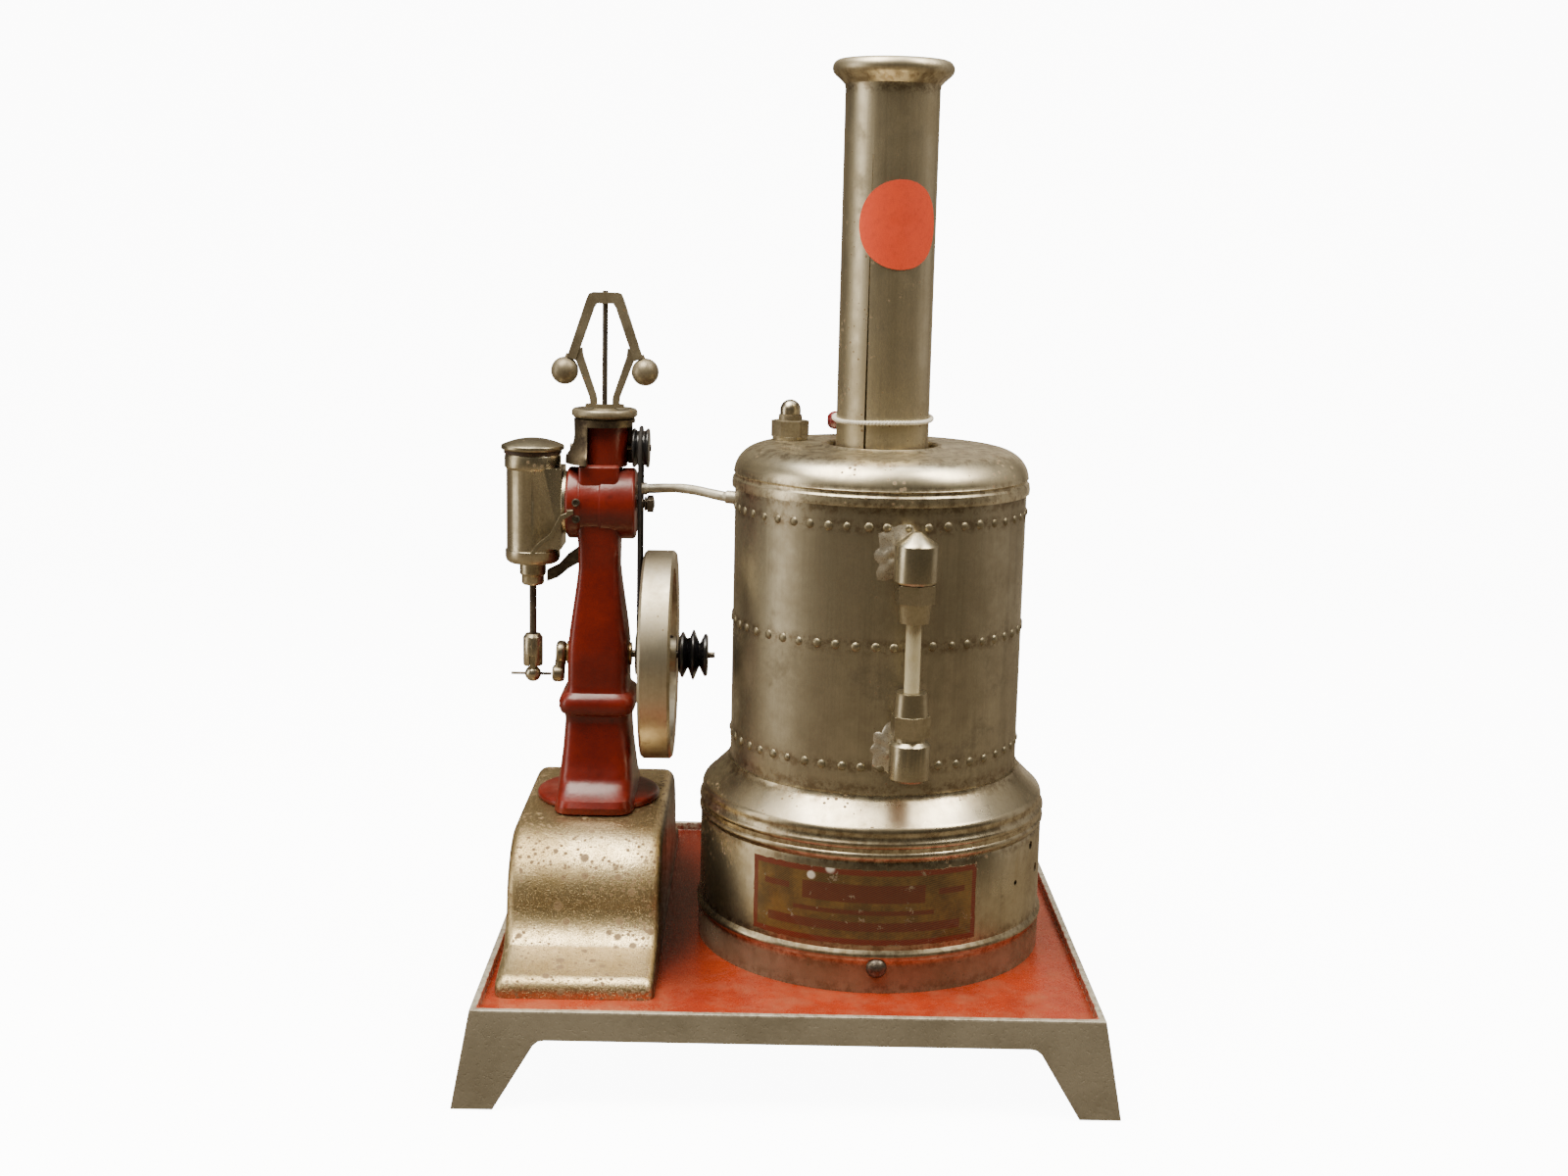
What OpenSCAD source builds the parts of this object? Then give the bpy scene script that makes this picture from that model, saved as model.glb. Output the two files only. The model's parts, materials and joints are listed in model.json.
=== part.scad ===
// Toy stationary steam engine: electrically heated upright boiler, upright
// oscillating-cylinder engine with a flyball governor, cast pedestal and tray.
// Origin: centre of the footprint, on the surface that the feet stand on.
// +X to the right (boiler side), +Y to the back, +Z up. Millimetres.

/* [Base tray] */
// Outside width and depth of the tray at its rim
tray_w = 176; // [170:1:190]
// Height of the rim above the table
rim_z = 27; // [25:0.5:30]
// Height of the tray floor's upper face
floor_z = 24.2; // [22:0.1:24.4]
// How far each foot splays outside the rim
foot_splay = 4.6; // [2:0.2:7]
// Thickness of the cast walls and legs
cast_wall = 3; // [2:0.5:4]

/* [Pedestal] */
// Width of the pedestal, left to right
ped_w = 45.5; // [42:0.5:50]
// Depth of the pedestal at its foot
ped_d = 151.2; // [148:0.4:156]
// Height of the pedestal's top above the table
ped_top_z = 62; // [60:0.5:66]

/* [Engine] */
// Sideways place of the engine column's axis
eng_x = -60.4; // [-62:0.2:-59]
// Front-to-back place of the engine column's axis
eng_y = 3; // [1:0.5:5]
// Height of the crankshaft axis
shaft_z = 108.2; // [107:0.2:110]
// Distance from the crankshaft axis to the crank pin
crank_throw = 7; // [5:0.5:7]
// Height of the trunnion that the cylinder rocks on
trunnion_z = 155.8; // [155:0.2:156.6]
// Outer radius of the cylinder barrel
barrel_r = 8.1; // [8:0.1:8.4]
// Radius of the cylinder bore
bore_r = 6.95; // [6.5:0.05:7]

/* [Flywheel and pulleys] */
// Outer radius of the flywheel
wheel_r = 32.7; // [28:0.1:34]
// Width of the flywheel rim
wheel_w = 9.8; // [8:0.2:10]
// Number of flywheel spokes
spokes = 6; // [4:1:8]

/* [Governor] */
// Height of the governor's cross axle
axle_z = 173.1; // [172:0.1:174]
// Height of the governor yoke's top
yoke_top_z = 220.3; // [216:0.1:224]
// Radius of each governor ball
ball_r = 4.2; // [3:0.1:5]

/* [Boiler] */
// Sideways place of the boiler's axis
boil_x = 25.4; // [24:0.2:27]
// Front-to-back place of the boiler's axis
boil_y = -10.8; // [-12:0.2:-9]
// Outer radius of the boiler shell
boil_r = 43.95; // [43:0.05:45]
// Outer radius of the firebox skirt
fire_r = 53.05; // [52:0.05:54]
// Height of the boiler cap's flat top
cap_z = 176.8; // [175:0.2:178]
// Outer radius of the chimney
chim_r = 13.9; // [13:0.1:14.5]
// Height of the chimney's top
chim_top_z = 289.6; // [270:0.2:300]

/* [Hidden] */
$fn = 64;
eps = 0.01;
run = 0.05;           // radial clearance of a running fit

half = tray_w / 2;
foot_half = half + foot_splay;
apron_z = 19;         // lower edge of the tray's apron, between the legs
leg_foot = 11.6;      // width of a leg at the table
leg_top = 23.4;       // width of a leg where it meets the apron
floor_t = 2.8;
lip_t = 1.8;
ped_x = -60.75;
ped_r = 22;           // radius of the pedestal's rounded shoulder
ped_flat = 28;        // half length of the pedestal's flat top
ped_cove_r = 14;
ped_wall = 3;
ped_corner = 4;

flange_r = 19.3;
flange_t = 2.3;
col_z0 = ped_top_z + flange_t;
head_r = 11.1;
head_left_x = -70.4;
head_right_x = -49.2;
port_t = 1.2;
cyl_x = -81.3;
cyl_port_x = head_left_x - port_t - 0.15;
shaft_r = 1.2;
tip_r = 0.95;         // radius of the shaft's free end
bush_r = 2.4;
col_side = 9.4;       // half width of the column at the crankshaft
belt_x = -47.9;
belt_r = 0.6;
drive_r = 6.6;
groove_r = 5.6;       // running radius of the belt in both pulleys
pin_r = 0.45;
rod_r = 1.15;
trun_r = 1.25;
wheel_x = -41.7;
gov_x = -59.2;
spindle_r = 0.85;
friction_r = 3.6;      // friction wheel, and its distance from the spindle's axis
bell_in = 7.25;        // inside radius of the governor bracket
neck_r = 7.1;          // hollow neck of the column, inside the governor bracket
neck_in = 6.1;
neck_top_z = 180.2;
disc_z = 182.3;
bell_top_z = 182;
bracket_z = trunnion_z + 12.5;

gauge_a = 8.5;        // turn of the water gauge round the boiler, degrees from the front
gauge_d = 51;         // distance of the gauge's axis from the boiler's axis
sheet = 0.8;
well_r = 16.4;        // radius of the well in the cap that the chimney stands in
well_z = 171;
valve_p = [-2.2, 2];
whistle_p = [24, 17];
lever_z = 181.6;
knob_x = 12.2;

// Half-outline of a column face: [height, half width]
front_half = [[62.6, 12.4], [66, 11.9], [72, 11.5], [80, 10.6], [90, 9.9], [91.3, 11.2],
    [93, 11.8], [95, 11.8], [96.8, 11.1], [98, 9.5], [104, col_side], [112, col_side],
    [117, 8.8], [122, 8.1], [130.5, 6.9], [136, 6.2], [151, 6.2]];
side_half = [[62.6, 24], [64.6, 24.4], [66.4, 23.4], [68, 19.5], [71, 16.5], [76, 14.6], [83, 13.2],
    [90, 12.2], [91.3, 13.4], [93, 14], [95, 14], [96.8, 13.2], [98, 11.8], [112, 11.2],
    [122, 10], [136, 8.6], [151, 8.6]];

function arc(cx, cy, r, a0, a1, n = 10) =
    [for (i = [0:n]) let (a = a0 + (a1 - a0) * i / n) [cx + r * cos(a), cy + r * sin(a)]];
function both_sides(h) = concat([for (p = h) [p[1], p[0]]],
    [for (i = [len(h) - 1:-1:0]) [-h[i][1], h[i][0]]]);
function mirror_x(pts) = [for (i = [len(pts) - 1:-1:0]) [-pts[i][0], pts[i][1]]];

module nickel() { color("#a39a80") children(); }
module old_steel() { color("#6f6554") children(); }
module red() { color("#a8321c") children(); }
module black() { color("#232120") children(); }

module at_engine(z = 0) { translate([eng_x, eng_y, z]) children(); }
module at_boiler(z = 0) { translate([boil_x, boil_y, z]) children(); }
// A cylinder along X from x0 to x1
module x_rod(x0, x1, r) { translate([x0, 0, 0]) rotate([0, 90, 0]) cylinder(r = r, h = x1 - x0); }
// A solid turned about the X axis: points are [radius, x]
module x_turned(points) {
    rotate([0, 90, 0]) rotate_extrude() polygon([for (p = points) [p[0], p[1]]]);
}
// An outline drawn in X and Z, given a depth along Y about the middle
module xz_plate(depth) {
    rotate([90, 0, 0]) translate([0, 0, -depth / 2]) linear_extrude(depth) children();
}
// An outline drawn in Y and Z, given a width along X about the middle
module yz_plate(width) {
    rotate([90, 0, 90]) translate([0, 0, -width / 2]) linear_extrude(width) children();
}
module rounded_rect(w, d, r) {
    union() {
        square([w - 2 * r, d], center = true);
        square([w, d - 2 * r], center = true);
        for (sx = [-1, 1], sy = [-1, 1]) translate([sx * (w / 2 - r), sy * (d / 2 - r)]) circle(r);
    }
}
module slotted_screw(head_r, head_h, shank_r, shank_h) {
    difference() {
        cylinder(r = head_r, h = head_h);
        translate([-head_r - 1, -0.4, -eps]) cube([2 * head_r + 2, 0.8, head_h * 0.45]);
    }
    translate([0, 0, head_h]) cylinder(r = shank_r, h = shank_h);
}

// ---- Base tray and pedestal ----
module splayed(inset, z0, z1) {
    outline = [[-(foot_half - inset), z0], [foot_half - inset, z0],
        [half - inset + foot_splay * (rim_z - z1) / rim_z, z1],
        [-(half - inset + foot_splay * (rim_z - z1) / rim_z), z1]];
    intersection() {
        xz_plate(4 * half) polygon(outline);
        yz_plate(4 * half) polygon(outline);
    }
}
module leg_window() {
    edge = foot_half - leg_foot;
    top = foot_half - leg_top;
    half_window = [[top - 2, apron_z], [top - 0.4, apron_z - 0.3], [top + 1, apron_z - 1.4],
        [edge + 0.6, -1]];
    polygon(concat(half_window, mirror_x(half_window)));
}
pedestal_screw_y = [-55, 61];
firebox_screw_a = [60, 180, 300];
foot_r = 47;          // radius of the circle of screws that hold the firebox
module base_tray() {
    red() difference() {
        splayed(0, 0, rim_z);
        translate([0, 0, floor_z])
            linear_extrude(rim_z) rounded_rect(tray_w - 2 * lip_t, tray_w - 2 * lip_t, 3);
        splayed(cast_wall, -eps, floor_z - floor_t);
        xz_plate(4 * half) leg_window();
        yz_plate(4 * half) leg_window();
        for (y = pedestal_screw_y)
            translate([ped_x, y, 0]) cylinder(r = 1.7, h = rim_z, $fn = 24);
        at_boiler() for (a = firebox_screw_a)
            rotate(a) translate([foot_r, 0, 0]) cylinder(r = 1.7, h = rim_z, $fn = 24);
    }
}
module base_screws() {
    z = floor_z - floor_t - 1.6;
    old_steel() {
        for (y = pedestal_screw_y)
            translate([ped_x, y, z]) slotted_screw(3, 1.6, 1.5, 7.5, $fn = 24);
        at_boiler() for (a = firebox_screw_a)
            rotate(a) translate([foot_r, 0, z]) slotted_screw(3, 1.6, 1.5, 4.3, $fn = 24);
    }
}
// Half of the ogee outline, from the middle of the top to the foot: [y, z]
function ogee(inset) = let (
    e0 = 8, e1 = 62,
    cy = ped_flat, cz = ped_top_z - ped_r,
    y1 = cy + ped_r * cos(e0), z1 = cz + ped_r * sin(e0),
    ky = y1 + ped_cove_r * cos(e0), kz = z1 + ped_cove_r * sin(e0),
    foot = ped_d / 2)
    concat(arc(cy, cz, ped_r - inset, 90, e0, 10),
        arc(ky, kz, ped_cove_r + inset, 180 + e0, 180 + e1, 8),
        [[foot - 2.4 - inset, floor_z + 5.6 - inset], [foot - 0.6 - inset, floor_z + 4.2 - inset],
         [foot - inset, floor_z + 2 - inset], [foot - inset, floor_z - inset]]);
module pedestal() {
    nickel() translate([ped_x, eng_y, 0]) difference() {
        intersection() {
            yz_plate(ped_w) polygon(concat(ogee(0), mirror_x(ogee(0))));
            linear_extrude(ped_top_z) rounded_rect(ped_w, ped_d, ped_corner);
            xz_plate(2 * ped_d) union() {
                translate([0, ped_top_z - 10]) rounded_rect(ped_w, 20, ped_corner);
                translate([-ped_w / 2, 0]) square([ped_w, ped_top_z - 10]);
            }
        }
        difference() {
            yz_plate(ped_w - 2 * ped_wall) polygon(concat(ogee(ped_wall), mirror_x(ogee(ped_wall))));
            for (y = pedestal_screw_y)
                translate([0, y - eng_y, 0]) cylinder(r = 4.5, h = floor_z + 7);
        }
        for (y = pedestal_screw_y)
            translate([0, y - eng_y, 0]) cylinder(r = 1.55, h = floor_z + 6, $fn = 24);
        translate([eng_x - ped_x, 0, 0]) cylinder(r = 3.2, h = ped_top_z + 1);
    }
}
module column_bolt() {
    old_steel() at_engine(ped_top_z - ped_wall - 3) {
        cylinder(r = 5, h = 3, $fn = 6);
        translate([0, 0, 3]) cylinder(r = 3, h = 12);
    }
}

// ---- Engine column ----
module engine_column() {
    chamfer = 4.6;
    diag = [for (i = [0:len(front_half) - 1])
        [front_half[i][0], (front_half[i][1] + min(side_half[i][1], 14)) / sqrt(2) - chamfer / sqrt(2)]];
    red() difference() {
        union() {
            at_engine(ped_top_z) rotate_extrude() polygon([[0, 0], [flange_r, 0],
                [flange_r, flange_t - 0.9], [flange_r - 0.8, flange_t], [0, flange_t]]);
            at_engine() intersection() {
                xz_plate(2 * flange_r + 12) polygon(both_sides(front_half));
                yz_plate(2 * flange_r) polygon(both_sides(side_half));
                union() {
                    rotate(45) xz_plate(60) polygon(both_sides(diag));
                    translate([-9.4, -30, 0]) cube([18.8, 60, 90.5]);
                }
            }
            translate([0, eng_y, trunnion_z]) x_rod(head_left_x, head_right_x, head_r);
            translate([eng_x - 6.2, eng_y - 8.6, trunnion_z])
                cube([12.4, 17.2, bracket_z - trunnion_z]);
            translate([gov_x, eng_y, bracket_z - 1]) cylinder(r = neck_r, h = neck_top_z - bracket_z + 1);
        }
        translate([gov_x, eng_y, bracket_z + 0.6]) cylinder(r = neck_in, h = 20);
        translate([0, eng_y, axle_z]) x_rod(gov_x - 20, gov_x + 20, 1 + run);
        translate([0, eng_y, shaft_z]) x_rod(eng_x - 15, eng_x + 15, bush_r);
        translate([0, eng_y, trunnion_z]) x_rod(head_left_x - 1, head_right_x + 1, trun_r + run);
        translate([0, eng_y, pipe_z]) x_rod(eng_x - 4, head_right_x + 1, 1.2);
        at_engine(ped_top_z - 1) cylinder(r = 3, h = 16);
    }
}
module shaft_bushes() {
    color("#8a6a34") translate([0, eng_y, shaft_z]) difference() {
        union() {
            x_rod(eng_x - col_side - 0.7, eng_x - col_side + 5, bush_r);
            x_rod(eng_x - col_side - 0.7, eng_x - col_side - 0.05, 3.6);
            x_rod(eng_x + col_side - 5, eng_x + col_side + 0.7, bush_r);
            x_rod(eng_x + col_side + 0.05, eng_x + col_side + 0.7, 3.6);
        }
        x_rod(eng_x - 20, eng_x + 20, shaft_r + run);
    }
}
module port_plate() {
    nickel() difference() {
        translate([head_left_x - port_t, eng_y, trunnion_z]) x_rod(0, port_t, 9.8);
        translate([0, eng_y, trunnion_z]) x_rod(head_left_x - 5, head_left_x + 5, trun_r + run + 0.1);
        for (y = [-3, 3]) translate([0, eng_y + y, trunnion_z + 5.5])
            x_rod(head_left_x - 5, head_left_x + 5, 0.8, $fn = 16);
    }
}
// Flat spring strip in front of the cylinder's lower flange
module retaining_clip() {
    strip = [[-67.6, 155.2], [-71.4, 153.4], [-74.6, 147.6], [-78.4, 144.6], [-80.4, 141.8],
        [-79.5, 141.2], [-77.5, 143.7], [-73.7, 146.6], [-70.6, 152.2], [-67.6, 153.9]];
    nickel() translate([0, eng_y - 12.6, 0]) xz_plate(2.4) polygon(strip);
    nickel() translate([-69.4, eng_y - 13.8, 153.9]) cube([1.9, 2.6, 1.3]);
}
// Curved brace from the column towards the gland
module guide_bracket() {
    col_face = eng_x - 6.25;
    old_steel() translate([0, eng_y + 1.5, 0]) xz_plate(3) polygon([[col_face, 142], [col_face, 137],
        [-70, 135], [-73.5, 132], [-77, 130.6], [-77, 134.2], [-73.4, 136], [-70.4, 139.4]]);
}

// ---- Steam pipe ----
pipe_r = 1.6;
pipe_z = trunnion_z + 4.6;
pipe_sides = 12;
// Route of the steam pipe: points on its centre line
pipe_path = [[head_right_x + 0.75, eng_y, pipe_z], [-44, eng_y, pipe_z + 0.2], [-40, 1.6, pipe_z + 0.6],
    [-36, -0.4, pipe_z + 0.9], [-31, -3.4, pipe_z + 0.8], [-26, -6.8, pipe_z + 0.3], [-22, -9.4, pipe_z - 0.1],
    [-17.9, -10.8, pipe_z - 0.3]];
function pipe_ring(i) = let (
    n = len(pipe_path),
    d = pipe_path[min(i + 1, n - 1)] - pipe_path[max(i - 1, 0)],
    side = cross([0, 0, 1], d) / norm(cross([0, 0, 1], d)),
    up = cross(d, side) / norm(d))
    [for (k = [0:pipe_sides - 1]) let (a = 360 * k / pipe_sides)
        pipe_path[i] + pipe_r * (cos(a) * side + sin(a) * up)];
module steam_pipe() {
    n = len(pipe_path);
    m = pipe_sides;
    nickel() polyhedron(
        points = [for (i = [0:n - 1]) each pipe_ring(i)],
        faces = concat([[for (k = [0:m - 1]) k]], [[for (k = [m - 1:-1:0]) (n - 1) * m + k]],
            [for (i = [0:n - 2], k = [0:m - 1])
                [i * m + k, (i + 1) * m + k, (i + 1) * m + (k + 1) % m, i * m + (k + 1) % m]]));
}
module pipe_union() {
    old_steel() translate([0, eng_y, pipe_z]) x_rod(head_right_x + 0.02, head_right_x + 0.62, 1.95);
}

// ---- Governor: fixed pieces ----
module governor_bracket() {
    h = bell_top_z - bracket_z;
    old_steel() translate([gov_x, eng_y, bracket_z]) difference() {
        rotate_extrude() polygon(concat([[0, 0], [12, 0], [12, 1.2]], arc(19.3, 9, 10, 222, 180, 8),
            [[9.4, h - 1], [9.4, h], [0, h]]));
        translate([0, 0, -1]) cylinder(r = bell_in, h = h - 0.4);
        translate([-4.6, -20, -1]) cube([30, 20, h - 1.2]);
        translate([belt_x - gov_x - 2.9, -20, -1]) cube([20, 40, h]);
        translate([0, 0, h - 3]) cylinder(r = spindle_r + run, h = 5, $fn = 32);
        translate([0, 0, axle_z - bracket_z]) x_rod(-20, 20, 1 + run);
    }
}
module governor_belt() {
    r_mid = groove_r + belt_r + 0.1;
    black() translate([belt_x, eng_y, 0]) union() {
        for (s = [-1, 1]) translate([0, s * r_mid, shaft_z])
            cylinder(r = belt_r, h = axle_z - shaft_z, $fn = 16);
        translate([0, 0, axle_z]) rotate([90, 0, 90]) rotate_extrude(angle = 180, $fn = 48)
            translate([r_mid, 0]) circle(belt_r, $fn = 16);
        translate([0, 0, shaft_z]) rotate([90, 0, 90]) rotate([0, 0, 180]) rotate_extrude(angle = 180, $fn = 48)
            translate([r_mid, 0]) circle(belt_r, $fn = 16);
    }
}

// ---- Cylinder: everything that rocks on the trunnion ----
cyl_z0 = 141;
collar_z = 166;
barrel_z1 = 170.8;
module cylinder_barrel() {
    nickel() difference() {
        union() {
            translate([cyl_x, eng_y, cyl_z0]) cylinder(r = barrel_r, h = barrel_z1 - cyl_z0);
            translate([cyl_x, eng_y, collar_z]) rotate_extrude() polygon([[0, 0], [barrel_r, 0],
                [barrel_r + 0.6, 0.8], [barrel_r + 0.6, 4], [barrel_r + 0.3, 4.8], [0, 4.8]]);
            translate([cyl_x, eng_y - 7.4, cyl_z0 + 1]) cube([cyl_port_x - cyl_x, 14.8, 24.8]);
        }
        translate([cyl_x, eng_y, cyl_z0 - 1]) cylinder(r = bore_r, h = barrel_z1 - cyl_z0 + 2);
        translate([0, eng_y, trunnion_z]) x_rod(cyl_x + bore_r + 0.2, cyl_port_x + 1, trun_r + run);
        translate([0, eng_y, trunnion_z + 5.5]) x_rod(cyl_x, cyl_port_x + 1, 0.8, $fn = 16);
        translate([cyl_x + 1.2, eng_y - barrel_r - 0.4, trunnion_z + 2.6])
            rotate([0, 12, 0]) cube([0.6, 1, 3], center = true);
    }
}
module cylinder_cap() {
    nickel() translate([cyl_x, eng_y, 171.9]) rotate_extrude()
        polygon(concat([[0, -1.1], [bore_r - run, -1.1], [bore_r - run, 0], [9.3, 0], [9.8, 0.5], [9.7, 1.1]],
            arc(0, -18.5, 22.2, 64, 90, 8)));
}
module cap_gasket() {
    black() translate([cyl_x, eng_y, barrel_z1]) difference() {
        cylinder(r = 8.9, h = 1.1);
        translate([0, 0, -1]) cylinder(r = bore_r, h = 4);
    }
}
module lower_cover() {
    nickel() translate([cyl_x, eng_y, 0]) difference() {
        rotate_extrude() polygon([[0, 136.8], [7.2, 136.8], [8.2, 137.6], [8.5, 138.8], [8.5, 141],
            [bore_r - run, 141], [bore_r - run, 142], [0, 142]]);
        cylinder(r = rod_r + run, h = 200);
        translate([0, 0, 136]) cylinder(r = 2.4, h = 3.2);
    }
}
module gland_nut() {
    nickel() translate([cyl_x, eng_y, 0]) difference() {
        union() {
            rotate_extrude() polygon([[0, 129.7], [3, 129.7], [3.5, 130.3], [3.5, 132.6],
                [4.1, 133.2], [4.1, 136.75], [0, 136.75]]);
            translate([0, 0, 136.5]) cylinder(r = 2.35, h = 2.6);
        }
        cylinder(r = rod_r + run, h = 200);
    }
}
module trunnion_pin() {
    old_steel() translate([0, eng_y, trunnion_z]) x_rod(cyl_x + bore_r + 0.3, -43.6, trun_r);
}
module trunnion_spring() {
    old_steel() translate([0, eng_y, trunnion_z]) for (i = [0:2])
        translate([head_right_x + 0.9 + i * 0.95, 0, 0]) rotate([0, 90, 0])
            rotate_extrude() translate([1.9, 0]) circle(0.35, $fn = 16);
}
module trunnion_nut() {
    old_steel() translate([0, eng_y, trunnion_z]) difference() {
        translate([-45.9, 0, 0]) rotate([0, 90, 0]) cylinder(r = 2.7, h = 2, $fn = 6);
        x_rod(-50, -40, trun_r);
    }
}

// ---- Piston and rod ----
pin_z = shaft_z - crank_throw;
module piston() {
    nickel() translate([cyl_x, eng_y, 143]) difference() {
        cylinder(r = bore_r - run, h = 7);
        for (z = [2, 4.4]) translate([0, 0, z]) difference() {
            cylinder(r = bore_r + 1, h = 0.6);
            translate([0, 0, -1]) cylinder(r = bore_r - 0.6, h = 3);
        }
        translate([0, 0, -1]) cylinder(r = rod_r, h = 6);
    }
}
module piston_rod() {
    old_steel() translate([cyl_x, eng_y, 108]) cylinder(r = rod_r, h = 40);
}
module rod_end() {
    nickel() translate([cyl_x, eng_y, 103.9]) difference() {
        rotate_extrude() polygon([[0, 0], [2.9, 0], [3.1, 0.4], [3.1, 9], [2.3, 10.2], [0, 10.2]]);
        translate([0, 0, 4.1]) cylinder(r = rod_r, h = 8);
        translate([-0.9, -5, -1]) cube([1.8, 10, 4.4]);
    }
}
module big_end_ball() {
    nickel() translate([cyl_x, eng_y, pin_z]) difference() {
        union() {
            sphere(r = 2.55);
            translate([-0.85, -1.9, 0]) cube([1.7, 3.8, 5.9]);
        }
        x_rod(-5, 5, pin_r);
    }
}
module crank_pin() {
    old_steel() translate([0, eng_y, pin_z]) x_rod(-88.1, -75.5, pin_r, $fn = 24);
}

// ---- Crankshaft, flywheel and pulleys ----
module crank_web() {
    old_steel() translate([0, eng_y, 0]) difference() {
        union() {
            translate([0, 0, shaft_z]) x_rod(-73.9, -70.7, 3.7);
            translate([0, 0, pin_z + 0.2]) x_rod(-75.2, -71.3, 2.6);
            translate([-74.4, -2.2, pin_z]) cube([3.2, 4.4, crank_throw]);
        }
        translate([0, 0, shaft_z]) x_rod(-80, -60, shaft_r);
    }
}
module crankshaft() {
    old_steel() translate([0, eng_y, shaft_z]) {
        x_rod(-73.6, -26.2, shaft_r);
        x_rod(-27, -24.2, tip_r);
    }
}
module flywheel() {
    rim_in = wheel_r - 5.6;
    color("#a59d88") translate([wheel_x, eng_y, shaft_z]) difference() {
        union() {
            x_turned([[rim_in, -wheel_w / 2 + 0.6], [wheel_r - 0.8, -wheel_w / 2],
                [wheel_r, -wheel_w / 2 + 0.8], [wheel_r, wheel_w / 2 - 0.8],
                [wheel_r - 0.8, wheel_w / 2], [rim_in, wheel_w / 2 - 0.6]]);
            x_rod(-wheel_w / 2 + 0.4, wheel_w / 2 + 0.6, 5.6);
            for (i = [0:spokes - 1]) rotate([i * 360 / spokes, 0, 0])
                translate([-1.8, -2.3, 4]) cube([3.6, 4.6, rim_in - 3]);
        }
        x_rod(-10, 10, shaft_r);
        translate([3.4, 0, 1]) cylinder(r = 1.05, h = 8, $fn = 24);
    }
}
module step_pulley() {
    black() translate([0, eng_y, shaft_z]) difference() {
        x_turned([[0, -35.6], [5.2, -35.6], [7.2, -34.6], [7.2, -34], [4.2, -32.6], [7.9, -31.2], [7.9, -30.7],
            [3.7, -29], [6.7, -27.5], [6.7, -26.8], [6, -26.4], [0, -26.4]]);
        x_rod(-40, -20, shaft_r);
        translate([-32.6, 0, 1]) cylinder(r = 0.85, h = 8, $fn = 24);
    }
}
module drive_pulley() {
    color("#8d8572") translate([belt_x, eng_y, shaft_z]) difference() {
        x_turned([[0, -1.1], [drive_r, -1.1], [drive_r, -0.85], [groove_r - 0.3, -0.3], [groove_r - 0.3, 0.3],
            [drive_r, 0.85], [drive_r, 1.1], [0, 1.1]]);
        x_rod(-5, 5, shaft_r);
    }
}
module set_screws() {
    old_steel() translate([0, eng_y, shaft_z]) {
        translate([wheel_x + 3.4, 0, 1.3]) cylinder(r = 1, h = 4.6, $fn = 24);
        translate([-32.6, 0, 1.3]) cylinder(r = 0.8, h = 4, $fn = 24);
    }
}

// ---- Governor: turning pieces ----
module governor_axle() {
    old_steel() translate([0, eng_y, axle_z]) x_rod(gov_x - 10.6, -44.8, 1);
}
module governor_pulley() {
    black() translate([belt_x, eng_y, axle_z]) difference() {
        x_turned([[0, -2.6], [5.7, -2.6], [6.1, -2.4], [6.1, -1.9], [groove_r - 0.3, -1.2],
            [groove_r - 0.3, 1.2], [6.1, 1.9], [6.1, 2.4], [5.7, 2.6], [0, 2.6]]);
        x_rod(-5, 5, 1);
    }
}
module friction_wheel() {
    color("#5b3a24") translate([gov_x + friction_r, eng_y, axle_z]) difference() {
        x_rod(-0.8, 0.8, friction_r);
        x_rod(-5, 5, 1);
    }
}
module governor_spindle() {
    old_steel() translate([gov_x, eng_y, 175.4]) cylinder(r = spindle_r, h = yoke_top_z - 175.4 + 0.5);
}
module friction_disc() {
    nickel() translate([gov_x, eng_y, axle_z + friction_r + run]) difference() {
        cylinder(r = 5.8, h = 1);
        translate([0, 0, -1]) cylinder(r = spindle_r, h = 4);
    }
}
module governor_disc() {
    nickel() translate([gov_x, eng_y, disc_z]) difference() {
        rotate_extrude() polygon([[0, 0], [9.2, 0], [10.1, 0.8], [10.1, 2], [9.6, 2.8], [4.8, 1.9],
            [3.4, 2.9], [0, 2.9]]);
        translate([0, 0, -1]) cylinder(r = spindle_r, h = 6);
    }
}
arm_top = 5.4;
arm_out = 10.8;
arm_z = 200.4;
yoke_half = [[0, yoke_top_z - 3.4], [arm_top - 2.9, yoke_top_z - 3.4], [arm_top - 2.1, yoke_top_z - 4.6],
    [arm_out - 1.9, arm_z - 0.8], [arm_out + 0.7, arm_z + 0.2], [arm_top + 0.3, yoke_top_z - 2.2],
    [arm_top - 0.5, yoke_top_z - 0.4], [arm_top - 1.6, yoke_top_z], [0, yoke_top_z]];
module yoke_outline() { polygon(concat(yoke_half, mirror_x(yoke_half))); }
module governor_yoke() {
    nickel() translate([gov_x, eng_y, 0]) difference() {
        xz_plate(3.2) yoke_outline();
        cylinder(r = spindle_r, h = 300);
    }
}
module governor_balls() {
    nickel() for (s = [-1, 1]) translate([gov_x + s * 12.3, eng_y, 196.4]) difference() {
        sphere(r = ball_r);
        translate([-s * (ball_r + 1.2), 0, ball_r]) rotate([0, -s * 25, 0]) cube([3.4, 4, 4], center = true);
    }
}
module governor_links() {
    leg = [[2.4, 185.4], [5.9, 185.4], [5.9, 186.3], [4.4, 186.5], [4.6, 188.4], [9.1, 200.4], [8.9, 203.4],
        [6.9, 203.4], [6.7, 201.2], [2.6, 189], [2.4, 188]];
    nickel() translate([gov_x, eng_y, 0]) difference() {
        union() {
            for (s = [-1, 1]) xz_plate(2.6)
                polygon(s > 0 ? leg : mirror_x(leg));
            translate([-3, -1.3, 185.25]) cube([6, 2.6, 1]);
        }
        cylinder(r = spindle_r, h = 300);
        xz_plate(4) yoke_outline();
    }
}

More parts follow.
